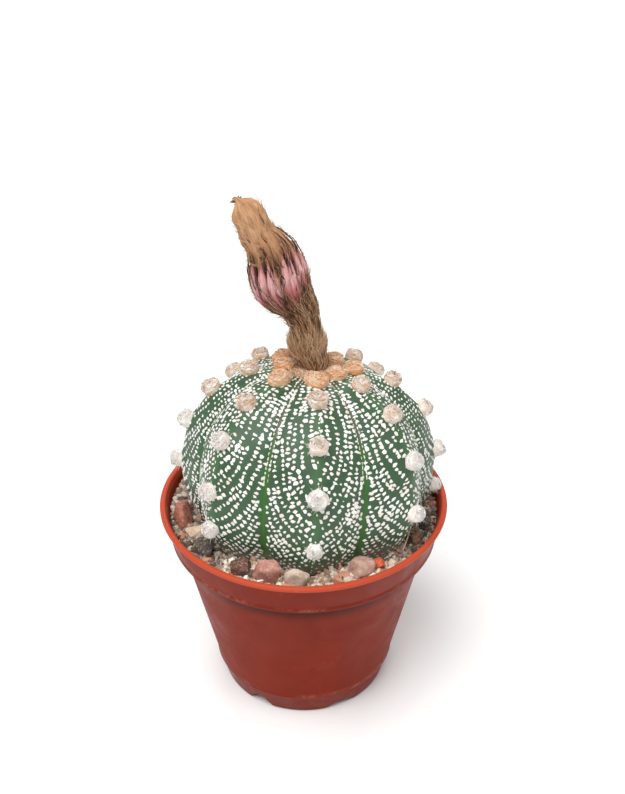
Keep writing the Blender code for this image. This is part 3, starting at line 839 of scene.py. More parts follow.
random = np.random.default_rng(FLECK_SEED)
panels = []
for ridge, after in zip(ridges, ridges[1:] + [ridges[0] + 2 * math.pi]):
    furrow = (ridge + after) / 2
    panels.append((furrow, ridge))
    panels.append((furrow, after))
for number, (furrow, ridge) in enumerate(panels):
    middle = (furrow + ridge) / 2
    tilts, lengths, spans = panel_profile(middle)
    in_soil = [i for i, tilt in enumerate(tilts) if skin_point(middle, tilt).z < soil_high.z - 0.0016]
    length = float(lengths[in_soil[0] if in_soil else -1])
    pitch = abs(ridge - furrow)
    facing = math.cos(middle)
    spacing = FRONT_ROW_SPACING if facing > 0.6 else ROW_SPACING
    along_step = FRONT_FLECK_SPACING if facing > 0.6 else FLECK_SPACING

    def width_at(y):
        return float(np.interp(y, lengths, spans)) * pitch

    rows = flow_rows(width_at, length, spacing, ROWS_TOP, 100 + number)
    sense = 1 if ridge > furrow else -1
    for line in rows:
        travelled = random.uniform(0, along_step)
        for (xa, ya), (xb, yb) in zip(line, line[1:]):
            travelled += ROW_STEP
            if travelled < along_step:
                continue
            travelled = random.uniform(-0.16, 0.16) * along_step
            if random.random() < 0.045:
                continue
            share_down = ya / length
            x = xa + random.normal(0, 0.00009)
            if share_down > 0.55 and x < 0.00062:
                continue
            bearing = furrow + sense * x / max(width_at(ya), 1e-5) * pitch
            tilt = float(np.interp(ya, lengths, tilts))
            along = (sense * (xb - xa), yb - ya)
            size = 1.0 if share_down < 0.86 else 0.78
            size *= 0.75 + 0.25 * smooth_step(ROWS_TOP, 0.009, ya)
            size *= 0.78 + 0.22 * smooth_step(0.2, 0.75, facing)
            size *= 1.05 + 0.3 * noise.noise(Vector((xa * 500, ya * 500, number)))
            wide = random.uniform(0.00034, 0.00057) * size
            tall = random.uniform(0.00024, 0.00041) * size
            if random.random() < 0.25:
                wide, tall = tall * 1.15, wide * 0.95
            pinkish = random.beta(1.3, 5) + (0.35 if share_down > 0.9 else 0)
            add_fleck(bearing, tilt, along, wide, tall, int(random.integers(4, 8)), random, min(pinkish, 1))
    # thin rows that hug the furrow in its upper half
    y = 0.0042
    while y < length * 0.60:
        x = 0.00036 + random.normal(0, 0.00003)
        bearing = furrow + sense * x / max(width_at(y), 1e-5) * pitch
        tilt = float(np.interp(y, lengths, tilts))
        pinkish = random.uniform(0.25, 0.9)
        add_fleck(bearing, tilt, (0, 1), 0.00014, random.uniform(0.00030, 0.00046), 5, random, pinkish)
        y += random.uniform(0.00080, 0.00100)
    # a loose string of small flecks down the ridge
    y = 0.0045
    while sense > 0 and y < length * 0.97:
        bearing = ridge + random.normal(0, 0.00008) / max(width_at(y), 1e-5) * pitch
        tilt = float(np.interp(y, lengths, tilts))
        if random.random() < 0.62:
            add_fleck(bearing, tilt, (0, 1), 0.00019, random.uniform(0.00022, 0.00036), 5, random, 0.2)
        y += random.uniform(0.00075, 0.00110)

# Felted hair: chalk white and quite matt, a few tufts stained pinkish or tan by dust and age.
felt, shader = new_material("felted_white_hair", roughness=0.85, ior=1.45)
stain = add_node(felt, "ShaderNodeAttribute", attribute_name="stain").outputs["Fac"]
white = add_node(
    felt,
    "ShaderNodeMix",
    {"Factor": stain, 6: linear("F2F2EE"), 7: linear("D6C2B4")},
    data_type="RGBA",
)
feed(felt, shader, "Base Color", white.outputs[2])
shader.inputs["Sheen Weight"].default_value = 0.15
flecks = make_piece("skin_flecks", fleck_points, fleck_faces, felt, smooth=False)
add_mask(flecks, "stain", fleck_tint)
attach(flecks, "root")

# ---- Woolly pads of the ribs ----
# An areole sits every 5 to 8 mm down each rib: a round knob of packed woolly fibres, tan and worn
# where it is young, and bleached white low down. A few brown stubs of old spines stay in the upper ones.

PAD_RING = 30
PAD_ROWS = 12
WOOL_RADIUS = 0.00178
PAD_HEIGHT = 0.00165
PAD_HAIRS = 150
STRAND_SPACING = 0.000385  # coarser than real wool, whose strands are too fine to show
FIBRE_WIDTH = 0.00012  # several real hairs lie side by side in one, because one alone is too fine to show
# share of the pad's radius, height in the same unit
PAD_SECTION = (
    (0.86, -0.35),
    (0.98, 0.05),
    (1.03, 0.30),
    (1.00, 0.52),
    (0.90, 0.72),
    (0.76, 0.86),
    (0.60, 0.95),
    (0.44, 1.00),
    (0.30, 1.01),
    (0.18, 0.97),
    (0.08, 0.93),
)


class Wool:
    """Points and faces of one woolly piece, with a tint from 0, pale, to 1, stained."""

    def __init__(self):
        self.points = []
        self.faces = []
        self.tints = []

    def add(self, points, faces, tints):
        start = len(self.points)
        self.points += points
        self.faces += [tuple(start + v for v in face) for face in faces]
        self.tints += tints


def add_hair(wool, path, width, tint):
    """A tapered three-sided hair along a path."""
    points = []
    faces = []
    for index, point in enumerate(path):
        ahead = path[min(index + 1, len(path) - 1)] - path[max(index - 1, 0)]
        side = ahead.orthogonal().normalized()
        up = ahead.cross(side).normalized()
        share = index / (len(path) - 1)
        thick = width / 2 * (1 - share**2 * 0.85)
        for turn in (0, 2.094, 4.189):
            points.append(point + (side * math.cos(turn) + up * math.sin(turn)) * thick)
    for ring in range(len(path) - 1):
        for step in range(3):
            after = (step + 1) % 3
            low = ring * 3
            faces.append((low + step, low + after, low + 3 + after, low + 3 + step))
    wool.add(points, faces, [tint] * len(points))


def woolly_knob(centre, normal, radius, height, stretch, random, tint, fuzz):
    """A knob of packed wool: an uneven dome, fibres wound over it, and loose hairs round its edge."""
    wool = Wool()
    side = normal.cross(Vector((0, 0, 1))).normalized()
    rise = side.cross(normal).normalized() * -1
    seed = Vector([float(v) for v in random.uniform(-50, 50, 3)])
    twist = random.uniform(1.6, 3.2) * random.choice((-1, 1))

    def on_knob(turn, share, lift):
        place = share * (len(PAD_SECTION) - 1)
        low = min(int(place), len(PAD_SECTION) - 2)
        (ra, ha), (rb, hb) = PAD_SECTION[low], PAD_SECTION[low + 1]
        part = place - low
        out, up = ra + (rb - ra) * part, ha + (hb - ha) * part
        direction = side * math.cos(turn) * stretch + rise * math.sin(turn)
        raw = direction * out + normal * up
        lump = noise.noise(raw * 1.5 + seed) * 0.11
        strand = math.sin(turn * 9 + twist * 4 * share + noise.noise(raw * 2.2 + seed) * 3) * 0.022
        swell = 1 + lump + strand * (1 - share) ** 0.4
        return centre + (direction * out * swell) * radius + normal * (up * height * swell + lift)

    points = []
    faces = []
    tints = []
    for row in range(PAD_ROWS):
        for step in range(PAD_RING):
            turn = 2 * math.pi * step / PAD_RING
            points.append(on_knob(turn, row / (PAD_ROWS - 1), 0))
            # The dome is tinted a little warmer and darker than its pad: painted shade where it shows
            # between the strands.
            patch = noise.noise(points[-1] * 900 + seed)
            tints.append(min(max(tint + 0.12 + patch * 0.9, 0), 1))
    for row in range(PAD_ROWS - 1):
        for step in range(PAD_RING):
            after = (step + 1) % PAD_RING
            low = row * PAD_RING
            faces.append((low + step, low + after, low + PAD_RING + after, low + PAD_RING + step))
    points.append(on_knob(0, 1, -0.05 * height))
    tints.append(tint)
    last = (PAD_ROWS - 1) * PAD_RING
    for step in range(PAD_RING):
        faces.append((last + step, last + (step + 1) % PAD_RING, len(points) - 1))
    wool.add(points, faces, tints)
    for _ in range(fuzz):
        turn = random.uniform(0, 2 * math.pi)
        share = random.uniform(0.12, 0.95)
        length = random.uniform(0.5, 1.5)
        drift = random.uniform(-0.25, 0.35)
        lift = random.uniform(0.00003, 0.00022)
        path = []
        for i in range(6):
            part = i / 5
            here = min(max(share + drift * part, 0.02), 0.99)
            rise_off = lift + 0.00018 * math.sin(part * math.pi)
            path.append(on_knob(turn + math.copysign(length, twist) * part, here, rise_off))
        # About three strands in four are bleached, and the rest are stained.
        own = tint * 0.25 if random.random() < 0.74 else tint * 1.6 + 0.25
        add_hair(wool, path, FIBRE_WIDTH, min(max(own + random.normal(0, 0.10), 0), 1))
    for _ in range(fuzz // 4):
        turn = random.uniform(0, 2 * math.pi)
        root = on_knob(turn, random.uniform(0.0, 0.35), 0)
        out = (root - centre).normalized()
        length = random.uniform(0.0003, 0.0009)
        droop = Vector([float(v) for v in random.normal(0, 0.35, 3)])
        path = [root + (out + droop * (i / 3)) * length * (i / 3) for i in range(4)]
        add_hair(wool, path, FIBRE_WIDTH * 0.7, min(max(tint * 0.6 + random.normal(0, 0.15), 0), 1))
    return wool, on_knob


def wool_finish(name, pale, warm, shade):
    """Packed plant wool: quite matt, with soft edges, mottled from pale to warm, with painted shade in the
    gaps.
    """
    material, shader = new_material(name, roughness=0.95, ior=1.45)
    place = add_node(material, "ShaderNodeTexCoord").outputs["Object"]
    tint = add_node(material, "ShaderNodeAttribute", attribute_name="tint").outputs["Fac"]
    strands = add_node(
        material,
        "ShaderNodeTexNoise",
        {"Vector": place, "Scale": 1 / STRAND_SPACING, "Detail": 5.0, "Roughness": 0.7, "Distortion": 1.2},
    )
    base = add_node(
        material, "ShaderNodeMix", {"Factor": tint, 6: linear(pale), 7: linear(warm)}, data_type="RGBA"
    )
    # Painted shade: darker in the gaps between the strands.
    gap_shade = add_node(
        material,
        "ShaderNodeMapRange",
        {"Value": strands.outputs["Fac"], "From Min": 0.50, "From Max": 0.30, "To Max": 0.65},
    )
    colour = add_node(
        material,
        "ShaderNodeMix",
        {"Factor": gap_shade.outputs["Result"], 6: base.outputs[2], 7: linear(shade)},
        data_type="RGBA",
    )
    feed(material, shader, "Base Color", colour.outputs[2])
    fibre_bump = add_node(
        material,
        "ShaderNodeBump",
        {"Height": strands.outputs["Fac"], "Strength": 0.5, "Distance": 0.00012},
    )
    feed(material, shader, "Normal", fibre_bump.outputs["Normal"])
    shader.inputs["Sheen Weight"].default_value = 0.10
    shader.inputs["Sheen Roughness"].default_value = 0.5
    return material


def seat_on_skin(point):
    """Where a pad stands on the finished skin, and the skin's normal there."""
    local = plant.inverted() @ point - Vector((0, 0, WIDEST_RISE))
    bearing = math.atan2(local.x, -local.y)
    tilt = math.atan2(math.hypot(local.x, local.y), local.z)
    foot, normal, _, _ = skin_frame(bearing, tilt)
    return foot, normal, tilt


# Low on the plant the wool has bleached nearly white. Higher up it is still tan, with brown painted shade in
# its gaps.
white_wool = wool_finish("bleached_wool", "FAF8F5", "E4CDB8", "C0A68F")
tan_wool = wool_finish("tan_wool", "FBF6EF", "DCAC80", "85573A")
# Old spine wood: brown, smooth and a little glossy.
spine_wood, shader = new_material("spine_wood", roughness=0.5, ior=1.5)
shader.inputs["Base Color"].default_value = linear("4A3020")

for number, (node_name, centre) in enumerate(pad_centres):
    if not node_name.startswith("areole_"):
        continue
    random = np.random.default_rng(900 + number)
    foot, normal, tilt = seat_on_skin(centre)
    worn = 1 - smooth_step(math.radians(42), math.radians(76), tilt)
    aim = (normal * 0.8 + Vector((0, 0, 0.2)) + plant_turn @ Vector((0, 0, 0.15))).normalized()
    size = WOOL_RADIUS * random.uniform(0.86, 1.02) * (0.84 if tilt > 1.5 else 1)
    wool, on_knob = woolly_knob(foot, aim, size, PAD_HEIGHT, 1.0, random, 0.05 + 0.36 * worn, PAD_HAIRS)
    # Stubs of old spines, which a tint of 2 marks as wood.
    if worn > 0.25 and random.random() < 0.75:
        for _ in range(int(random.integers(1, 4))):
            root = on_knob(random.uniform(0, 6.28), random.uniform(0.6, 0.95), -0.0001)
            tip = root + (aim + Vector([float(v) for v in random.normal(0, 0.5, 3)])) * 0.00055
            add_hair(wool, [root, (root + tip) / 2, tip], 0.00016, 2.0)
    # The lowest pads trail a few loose hairs.
    if tilt > math.radians(80):
        for _ in range(5):
            root = on_knob(random.uniform(-2.2, -0.9), 0.1, 0)
            path = [root]
            for _ in range(8):
                step = Vector((random.normal(0, 0.3), random.normal(0, 0.3), -1.0))
                path.append(path[-1] + step.normalized() * 0.00032 + normal * 0.00003)
            add_hair(wool, path, 0.00007, 0.05)
    piece = make_piece(
        "woolly_pad_" + node_name.removeprefix("areole_"),
        wool.points,
        wool.faces,
        tan_wool if worn > 0.35 else white_wool,
    )
    piece.data.materials.append(spine_wood)
    dark = [all(wool.tints[v] > 1.5 for v in face) for face in wool.faces]
    piece.data.polygons.foreach_set("material_index", [int(flag) for flag in dark])
    add_mask(piece, "tint", [min(tint, 1) for tint in wool.tints])
    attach(piece, "root")
    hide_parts(node_name)

# ---- Crown wool ----
# The youngest areoles crowd round the growing point in a ring of fresh wool, orange-tan and dense.
# Loose felt fills the gaps between them and the flower's foot.

CROWN_PAD_HEIGHT = 0.0016
CROWN_PAD_HAIRS = 170
FELT_HAIRS = 1150
FELT_INSIDE = 0.0024
FELT_OUTSIDE = 0.0056
CROWN_CURVE = 0.0205  # the radius to which the crown is rounded

# Fresh wool: cream strands over a warm orange-tan, with brown painted shade in its gaps.
crown_fresh = wool_finish("fresh_orange_wool", "F8E6CF", "E9A564", "9A6238")
for number, (node_name, centre) in enumerate(pad_centres):
    if not node_name.startswith("crown_wool_"):
        continue
    random = np.random.default_rng(300 + number)
    foot, normal, tilt = seat_on_skin(centre)
    wide = 1.25 if node_name == "crown_wool_front" else 1.0
    size = WOOL_RADIUS * random.uniform(1.00, 1.14)
    tint = random.uniform(0.40, 0.85)
    wool, _ = woolly_knob(foot, normal, size, CROWN_PAD_HEIGHT, wide, random, tint, CROWN_PAD_HAIRS)
    piece = make_piece(
        "crown_pad_" + node_name.removeprefix("crown_wool_"), wool.points, wool.faces, crown_fresh
    )
    add_mask(piece, "tint", wool.tints)
    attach(piece, "root")
    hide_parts(node_name)

random = np.random.default_rng(77)
felt_ring = Wool()
for _ in range(FELT_HAIRS):
    bearing = random.uniform(0, 2 * math.pi)
    distance = random.uniform(FELT_INSIDE, FELT_OUTSIDE)
    foot, normal, around, down = skin_frame(bearing, distance / CROWN_CURVE)
    way = (around * random.normal(0, 1) + down * random.normal(0, 0.6)).normalized()
    length = random.uniform(0.0008, 0.0020)
    path = []
    for i in range(5):
        part = i / 4
        arch = 0.00065 * math.sin(part * math.pi) * random.uniform(0.6, 1.3)
        path.append(foot + way * length * (part - 0.5) + normal * (arch + 0.00005))
    add_hair(felt_ring, path, 0.00012, random.uniform(0, 1))
ring_felt = make_piece("crown_felt", felt_ring.points, felt_ring.faces, crown_fresh)
add_mask(ring_felt, "tint", felt_ring.tints)
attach(ring_felt, "root")

# ---- Flower tube ----
# The withered flower stands on a bent tube, which is covered with small scales. Brown and grey
# bristly hairs grow from them and lie along the tube, and tufts stand off at its foot.

FLOWER_SIDES = 72
FLOWER_STEP = 0.0005
FLOWER_FOOT = 0.0262  # above the rim, in the plant's own frame
TUBE_RADIUS = 0.0029
SCALE_DEPTH = 0.00070  # how deep the scaly skin lies under the outline that its bristles fill
TUBE_BRISTLES = 1150
LOOSE_BRISTLES = 460
TUFTS = 26
TUFT_BRISTLES = 7
TUBE_END = 5  # the station where the tepals take over
TEPALS_END = 10  # and where the petals stand out of them
LOWER_WAIST = 0.27  # how much slimmer the flower is on the left, under its swelling
UPPER_WAIST = 0.17  # and on the right, above it
# the bent middle line of the flower, as distance to the right and height above its foot
FLOWER_LINE = (
    (0.0000, 0.0000),
    (-0.0001, 0.0010),
    (-0.0008, 0.0028),
    (-0.0014, 0.0048),
    (-0.0023, 0.0090),
    (-0.0034, 0.0112),
    (-0.0050, 0.0130),
    (-0.0066, 0.0156),
    (-0.0074, 0.0176),
    (-0.0079, 0.0194),
    (-0.0087, 0.0216),
    (-0.0099, 0.0233),
    (-0.0111, 0.0247),
    (-0.0121, 0.0263),
    (-0.0131, 0.0280),
    (-0.0143, 0.0296),
    (-0.0155, 0.0308),
)
flower_tree = cad_tree("flower_tube", "outer_tepals", "dried_petals")
line_x = [x for x, _ in FLOWER_LINE]
line_rise = [rise for _, rise in FLOWER_LINE]
stretches = [math.dist(a, b) for a, b in zip(FLOWER_LINE, FLOWER_LINE[1:])]
station_at = np.concatenate([[0], np.cumsum(stretches)])
flower_length = int(station_at[-1] / FLOWER_STEP)
marks = np.linspace(0, station_at[-1], flower_length + 1)
centre_x = np.interp(marks, station_at, line_x)
centre_rise = np.interp(marks, station_at, line_rise)
for _ in range(6):
    centre_x[1:-1] = (centre_x[:-2] + 2 * centre_x[1:-1] + centre_x[2:]) / 4
    centre_rise[1:-1] = (centre_rise[:-2] + 2 * centre_rise[1:-1] + centre_rise[2:]) / 4
centres = [plant @ Vector((x, 0, FLOWER_FOOT + rise)) for x, rise in zip(centre_x, centre_rise)]
flower_rings = []
last_radii = [TUBE_RADIUS] * FLOWER_SIDES
for index, centre in enumerate(centres):
    ahead = centres[min(index + 1, flower_length)] - centres[max(index - 1, 0)]
    way = ahead.normalized()
    other = way.cross(plant_turn @ Vector((1, 0, 0))).normalized()
    side = other.cross(way).normalized()
    radii = []
    for step in range(FLOWER_SIDES):
        turn = 2 * math.pi * step / FLOWER_SIDES
        aim = side * math.cos(turn) + other * math.sin(turn)
        hit = flower_tree.ray_cast(centre, aim, 0.008)
        usual = last_radii[step]
        near = hit[0] is not None and 0.7 * usual < hit[3] < 1.3 * usual
        radii.append(hit[3] if near else usual)
    flower_rings.append((centre, side, other, radii))
    last_radii = radii
tube_end = int(station_at[TUBE_END] / FLOWER_STEP)
tepal_ends = int(station_at[TEPALS_END] / FLOWER_STEP)


def flower_point(ring, turn, lift, shrink=1.0):
    """A point on or above the flower's outline. ring may lie between two rings."""
    ring = min(max(ring, 0), flower_length - 0.001)
    low = int(ring)
    part = ring - low
    step = (turn / (2 * math.pi) * FLOWER_SIDES) % FLOWER_SIDES
    first = int(step) % FLOWER_SIDES
    after = (first + 1) % FLOWER_SIDES
    share = step - int(step)
    found = []
    for index in (low, low + 1):
        centre, side, other, radii = flower_rings[index]
        radius = (radii[first] * (1 - share) + radii[after] * share) * shrink
        outward = side * math.cos(turn) + other * math.sin(turn)
        lower = math.exp(-(((ring - tube_end - 2) / 4.0) ** 2))
        upper = math.exp(-(((ring - tepal_ends - 9) / 6.0) ** 2))
        radius *= 1 - LOWER_WAIST * max(-outward.x, 0) * lower
        radius *= 1 - UPPER_WAIST * max(outward.x, 0) * upper
        found.append(centre + outward * (radius + lift))
    return found[0].lerp(found[1], part)


TUBE_ROWS = range(0, tube_end + 4)
points = []
faces = []
tints = []
# The scaly skin is dark brown: partly its own colour, partly painted shade between the bristles.
for row in TUBE_ROWS:
    for step in range(FLOWER_SIDES):
        turn = 2 * math.pi * step / FLOWER_SIDES
        ridge = math.sin(turn * 11 + row * 0.05) * 0.00010
        ridge += noise.noise(Vector((turn * 3, row * 0.4, 0))) * 0.00018
        points.append(flower_point(row, turn, ridge - SCALE_DEPTH))
        tints.append(0.25 + 0.3 * noise.noise(Vector((turn * 4, row * 0.2, 5))))
for row in range(len(TUBE_ROWS) - 1):
    for step in range(FLOWER_SIDES):
        after = (step + 1) % FLOWER_SIDES
        low = row * FLOWER_SIDES
        faces.append((low + step, low + after, low + FLOWER_SIDES + after, low + FLOWER_SIDES + step))
tube = Wool()
tube.add(points, faces, tints)
random = np.random.default_rng(41)


def lay_bristle(wool, ring, turn, length, splay, width, tint, curl=0.0, foot=-0.00048):
    """A bristle that leaves the flower at a ring and lies along it, splayed out by an angle."""
    path = []
    sideways = random.normal(0, 0.20)
    wave = random.uniform(0, 6.28)
    steps = 7
    for i in range(steps):
        part = i / (steps - 1)
        along = ring + length * part / FLOWER_STEP * math.cos(splay)
        lift = foot + length * part * math.sin(splay) * (1 - curl * part) - 0.00012 * (1 - part)
        if along < flower_length - 1:
            path.append(flower_point(along, turn + sideways * part + 0.05 * math.sin(wave + part * 5), lift))
        else:
            path.append(path[-1] + (path[-1] - path[-2]))
    add_hair(wool, path, width, tint)


# Most bristles lie close along the tube.
for _ in range(TUBE_BRISTLES):
    ring = random.uniform(-1, tube_end + 1)
    low = 1 - smooth_step(4, 16, ring)
    splay = abs(random.normal(0, 0.09 + 0.07 * low))
    length = random.uniform(0.0020, 0.0044)
    tint = random.beta(0.55, 0.65) * 0.80 + 0.20 * low
    turn = random.uniform(0, 2 * math.pi)
    width = random.uniform(0.00009, 0.00019)
    lay_bristle(tube, ring, turn, length, splay, width, tint)
# Finer and paler ones stand off it near its foot.
for _ in range(LOOSE_BRISTLES):
    ring = random.uniform(4, 12)
    turn = random.uniform(0, 2 * math.pi)
    length = random.uniform(0.0018, 0.0034)
    splay = random.uniform(0.22, 0.70)
    tint = random.uniform(0.45, 1.0)
    lay_bristle(tube, ring, turn, length, splay, 0.00008, tint, 0.3)
# Tufts grow from the scales.
for _ in range(TUFTS):
    middle = random.uniform(0, 2 * math.pi)
    ring = random.uniform(5.5, 9.5)
    for _ in range(TUFT_BRISTLES):
        start = ring + random.normal(0, 0.7)
        turn = middle + random.normal(0, 0.10)
        length = random.uniform(0.0022, 0.0036)
        splay = random.uniform(0.30, 0.62)
        tint = random.uniform(0.4, 0.95)
        lay_bristle(tube, start, turn, length, splay, 0.00010, tint, 0.25)

# Dry bristles: dull brown hair, bleached to tan and grey at the tips, over a scaly tube whose dark brown
# is partly its own colour and partly painted shade between the bristles.
bristle, shader = new_material("dry_bristles", roughness=0.7, ior=1.5)
tint = add_node(bristle, "ShaderNodeAttribute", attribute_name="tint").outputs["Fac"]
hair_colours = add_node(bristle, "ShaderNodeValToRGB", {"Fac": tint})
ramp = hair_colours.color_ramp
ramp.elements[0].color = linear("3F261D")
ramp.elements[1].color = linear("F2DFC4")
middle_stop = ramp.elements.new(0.35)
middle_stop.color = linear("AC7A50")
upper_stop = ramp.elements.new(0.7)
upper_stop.color = linear("DCB184")
feed(bristle, shader, "Base Color", hair_colours.outputs["Color"])
piece = make_piece("bristly_tube", tube.points, tube.faces, bristle)
add_mask(piece, "tint", tube.tints)
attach(piece, "root")
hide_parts("flower_tube")

# ---- Outer tepals ----
# Round the swelling of the flower, narrow pointed tepals overlap like shingles. They have dried to
# a rose pink, with dark edges that are partly their own colour and partly painted shade where they tuck
# under, and brown at the foot, where bristles still lie between them.

PETAL_THICKNESS = 0.00009
TEPAL_COUNT = 15
# each layer of tepals: the rings between which they lie, and their height off the flower's outline
TEPAL_LAYERS = (
    (tube_end + 1, tepal_ends - 1, -0.00045),
    (tube_end + 3, tepal_ends + 2, -0.00012),
)
VEIN_SCALE = (5.0, 3.0, 90.0)  # across a petal, along it, and from one petal to the next
STREAK_WIDTH = 0.000667
# how many hairs of each kind lie over the tepals
FOOT_BRISTLES = 620
LONG_HAIRS = 190
DARK_BRISTLES = 120
LOOSE_HAIRS = 620
FOLD_SHADE_STRIPS = 34


def shrivelled_petal(
    first, last, turn, width, twist, raise_middle, lift, random, crumple, tuck=0.0, point=0.0
):
    """A narrow curved petal along the flower: points, faces, and shares along and across it."""
    rows = 26
    across = 9
    points = []
    along_share = []
    edge_share = []
    across_share = []
    seed = Vector([float(v) for v in random.uniform(-40, 40, 3)])
    for row in range(rows):
        part = row / (rows - 1)
        ring = first + (last - first) * part
        taper = max(math.sin(math.pi * min(max(part * 0.90 + 0.05, 0), 1)) ** 0.55, 0.05)
        taper *= 1 + 0.22 * noise.noise(Vector((part * 3.5, 0, 0)) + seed)
        taper *= 1 - point * smooth_step(0.55, 1.0, part)
        sunk = tuck * (1 - smooth_step(0.0, 0.45, part)) + 1.3 * tuck * smooth_step(0.86, 1.0, part)
        radius = np.mean(flower_rings[int(min(max(ring, 0), flower_length))][3])
        for column in range(across):
            q = 2 * column / (across - 1) - 1
            spread = q * width / 2 * taper / max(radius, 0.0012)
            wave = noise.noise(Vector((part * 5, q * 1.2, 0)) + seed) * crumple
            fold = raise_middle * (1 - abs(q) ** 1.5) * taper - 0.00050 * abs(q) ** 3
            vein = 0.00003 * math.cos(q * 11)
            height = lift + fold + wave + vein - sunk
            points.append(flower_point(ring, turn + twist * part + spread, height))
            along_share.append(part)
            edge_share.append(abs(q) ** 2)
            across_share.append(q)
    faces = []
    for row in range(rows - 1):
        for column in range(across - 1):
            low = row * across + column
            faces.append((low, low + 1, low + across + 1, low + across))
    return points, faces, along_share, edge_share, across_share


def thicken(piece, thickness):
    """Gives a petal sheet its thickness."""
    sheet = piece.modifiers.new("thickness", "SOLIDIFY")
    sheet.thickness = thickness
    sheet.offset = 0
    graph = bpy.context.evaluated_depsgraph_get()
    made = bpy.data.meshes.new_from_object(piece.evaluated_get(graph))
    piece.modifiers.clear()
    piece.data = made


def petal_piece(name, petals, material, random):
    """One object from many petals, with the masks that their finish reads."""
    points = []
    faces = []
    along = []
    edge = []
    across = []
    tone = []
    for petal in petals:
        tone += [random.random()] * len(petal[0])
        start = len(points)
        points += petal[0]
        faces += [tuple(start + v for v in face) for face in petal[1]]
        along += petal[2]
        edge += petal[3]
        across += petal[4]
    piece = make_piece(name, points, faces, material)
    add_mask(piece, "along", along)
    add_mask(piece, "edge", edge)
    add_mask(piece, "tone", tone)
    add_mask(piece, "across", across)
    thicken(piece, PETAL_THICKNESS)
    return piece


def vein_pattern(material):
    """Lengthwise veins and wrinkles, about 0.15 mm apart, which follow each petal."""
    across = add_node(material, "ShaderNodeAttribute", attribute_name="across").outputs["Fac"]
    along = add_node(material, "ShaderNodeAttribute", attribute_name="along").outputs["Fac"]
    which = add_node(material, "ShaderNodeAttribute", attribute_name="tone").outputs["Fac"]
    place = add_node(material, "ShaderNodeCombineXYZ", {"X": across, "Y": along, "Z": which})
    drawn_out = add_node(
        material,
        "ShaderNodeVectorMath",
        {0: place.outputs["Vector"], 1: VEIN_SCALE},
        operation="MULTIPLY",
    )
    return add_node(
        material,
        "ShaderNodeTexNoise",
        {"Vector": drawn_out.outputs["Vector"], "Scale": 1.0, "Detail": 5.0, "Roughness": 0.72},
    )


# Dried tepal: thin, faintly glossy skin. It fades from a brown foot through rose pink to tan, with
# fine lengthwise wrinkles and dark, curled edges, partly their own colour and partly painted shade where
# they tuck under.
pink_tepal, shader = new_material("dried_pink_tepal", roughness=0.48, ior=1.45)
place = add_node(pink_tepal, "ShaderNodeTexCoord").outputs["Object"]
along = add_node(pink_tepal, "ShaderNodeAttribute", attribute_name="along").outputs["Fac"]
length_ramp = add_node(pink_tepal, "ShaderNodeValToRGB", {"Fac": along})
ramp = length_ramp.color_ramp
ramp.elements[0].position = 0.02
ramp.elements[0].color = linear("5E332B")
ramp.elements[1].position = 0.97
ramp.elements[1].color = linear("BD8A70")
for position, colour in ((0.18, "7E3A3A"), (0.36, "C8737A"), (0.56, "F4C6C7"), (0.80, "E2A09E")):
    stop = ramp.elements.new(position)
    stop.color = linear(colour)
edge = add_node(pink_tepal, "ShaderNodeAttribute", attribute_name="edge").outputs["Fac"]
# Partly painted shade: the edges darken where they tuck under.
edge_dark_and_shade = add_node(
    pink_tepal, "ShaderNodeMapRange", {"Value": edge, "From Min": 0.45, "From Max": 1.0, "To Max": 0.85}
)
edged = add_node(
    pink_tepal,
    "ShaderNodeMix",
    {"Factor": edge_dark_and_shade.outputs["Result"], 6: length_ramp.outputs["Color"], 7: linear("5B2E2C")},
    data_type="RGBA",
)
streak = add_node(
    pink_tepal,
    "ShaderNodeTexNoise",
    {"Vector": place, "Scale": 1 / STREAK_WIDTH, "Detail": 4.0, "Roughness": 0.65},
)
streak_share = add_node(
    pink_tepal,
    "ShaderNodeMapRange",
    {"Value": streak.outputs["Fac"], "From Min": 0.5, "From Max": 0.8, "To Max": 0.40},
)
streaked = add_node(
    pink_tepal,
    "ShaderNodeMix",
    {"Factor": streak_share.outputs["Result"], 6: edged.outputs[2], 7: linear("A24A50")},
    data_type="RGBA",
)
own_tone = add_node(pink_tepal, "ShaderNodeAttribute", attribute_name="tone").outputs["Fac"]
tone_share = add_node(pink_tepal, "ShaderNodeMath", {0: own_tone, 1: 0.28}, operation="MULTIPLY")
toned = add_node(
    pink_tepal,
    "ShaderNodeMix",
    {"Factor": tone_share.outputs["Value"], 6: streaked.outputs[2], 7: linear("A85856")},
    data_type="RGBA",
)
veins = vein_pattern(pink_tepal)
vein_share = add_node(
    pink_tepal,
    "ShaderNodeMapRange",
    {"Value": veins.outputs["Fac"], "From Min": 0.50, "From Max": 0.66, "To Max": 0.42},
)
veined = add_node(
    pink_tepal,
    "ShaderNodeMix",
    {"Factor": vein_share.outputs["Result"], 6: toned.outputs[2], 7: linear("6E3533")},
    data_type="RGBA",
)
feed(pink_tepal, shader, "Base Color", veined.outputs[2])
wrinkle = add_node(
    pink_tepal, "ShaderNodeBump", {"Height": veins.outputs["Fac"], "Strength": 0.6, "Distance": 0.0002}
)
feed(pink_tepal, shader, "Normal", wrinkle.outputs["Normal"])

random = np.random.default_rng(12)
petals = []
for layer, (first, last, lift) in enumerate(TEPAL_LAYERS):
    for index in range(TEPAL_COUNT):
        turn = 2 * math.pi * (index + 0.5 * layer + random.uniform(-0.15, 0.15)) / TEPAL_COUNT
        tepal = shrivelled_petal(
            first + random.uniform(-2.0, 2.0),
            last + random.uniform(-2.5, 1.5),
            turn,
            width=random.uniform(0.0014, 0.0019),
            twist=random.uniform(0.02, 0.34),
            raise_middle=0.00045,
            lift=lift,
            random=random,
            crumple=0.00020,
            point=0.86,
        )
        petals.append(tepal)
tepals = petal_piece("pink_tepals", petals, pink_tepal, random)
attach(tepals, "root")
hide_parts("outer_tepals")

scales = Wool()
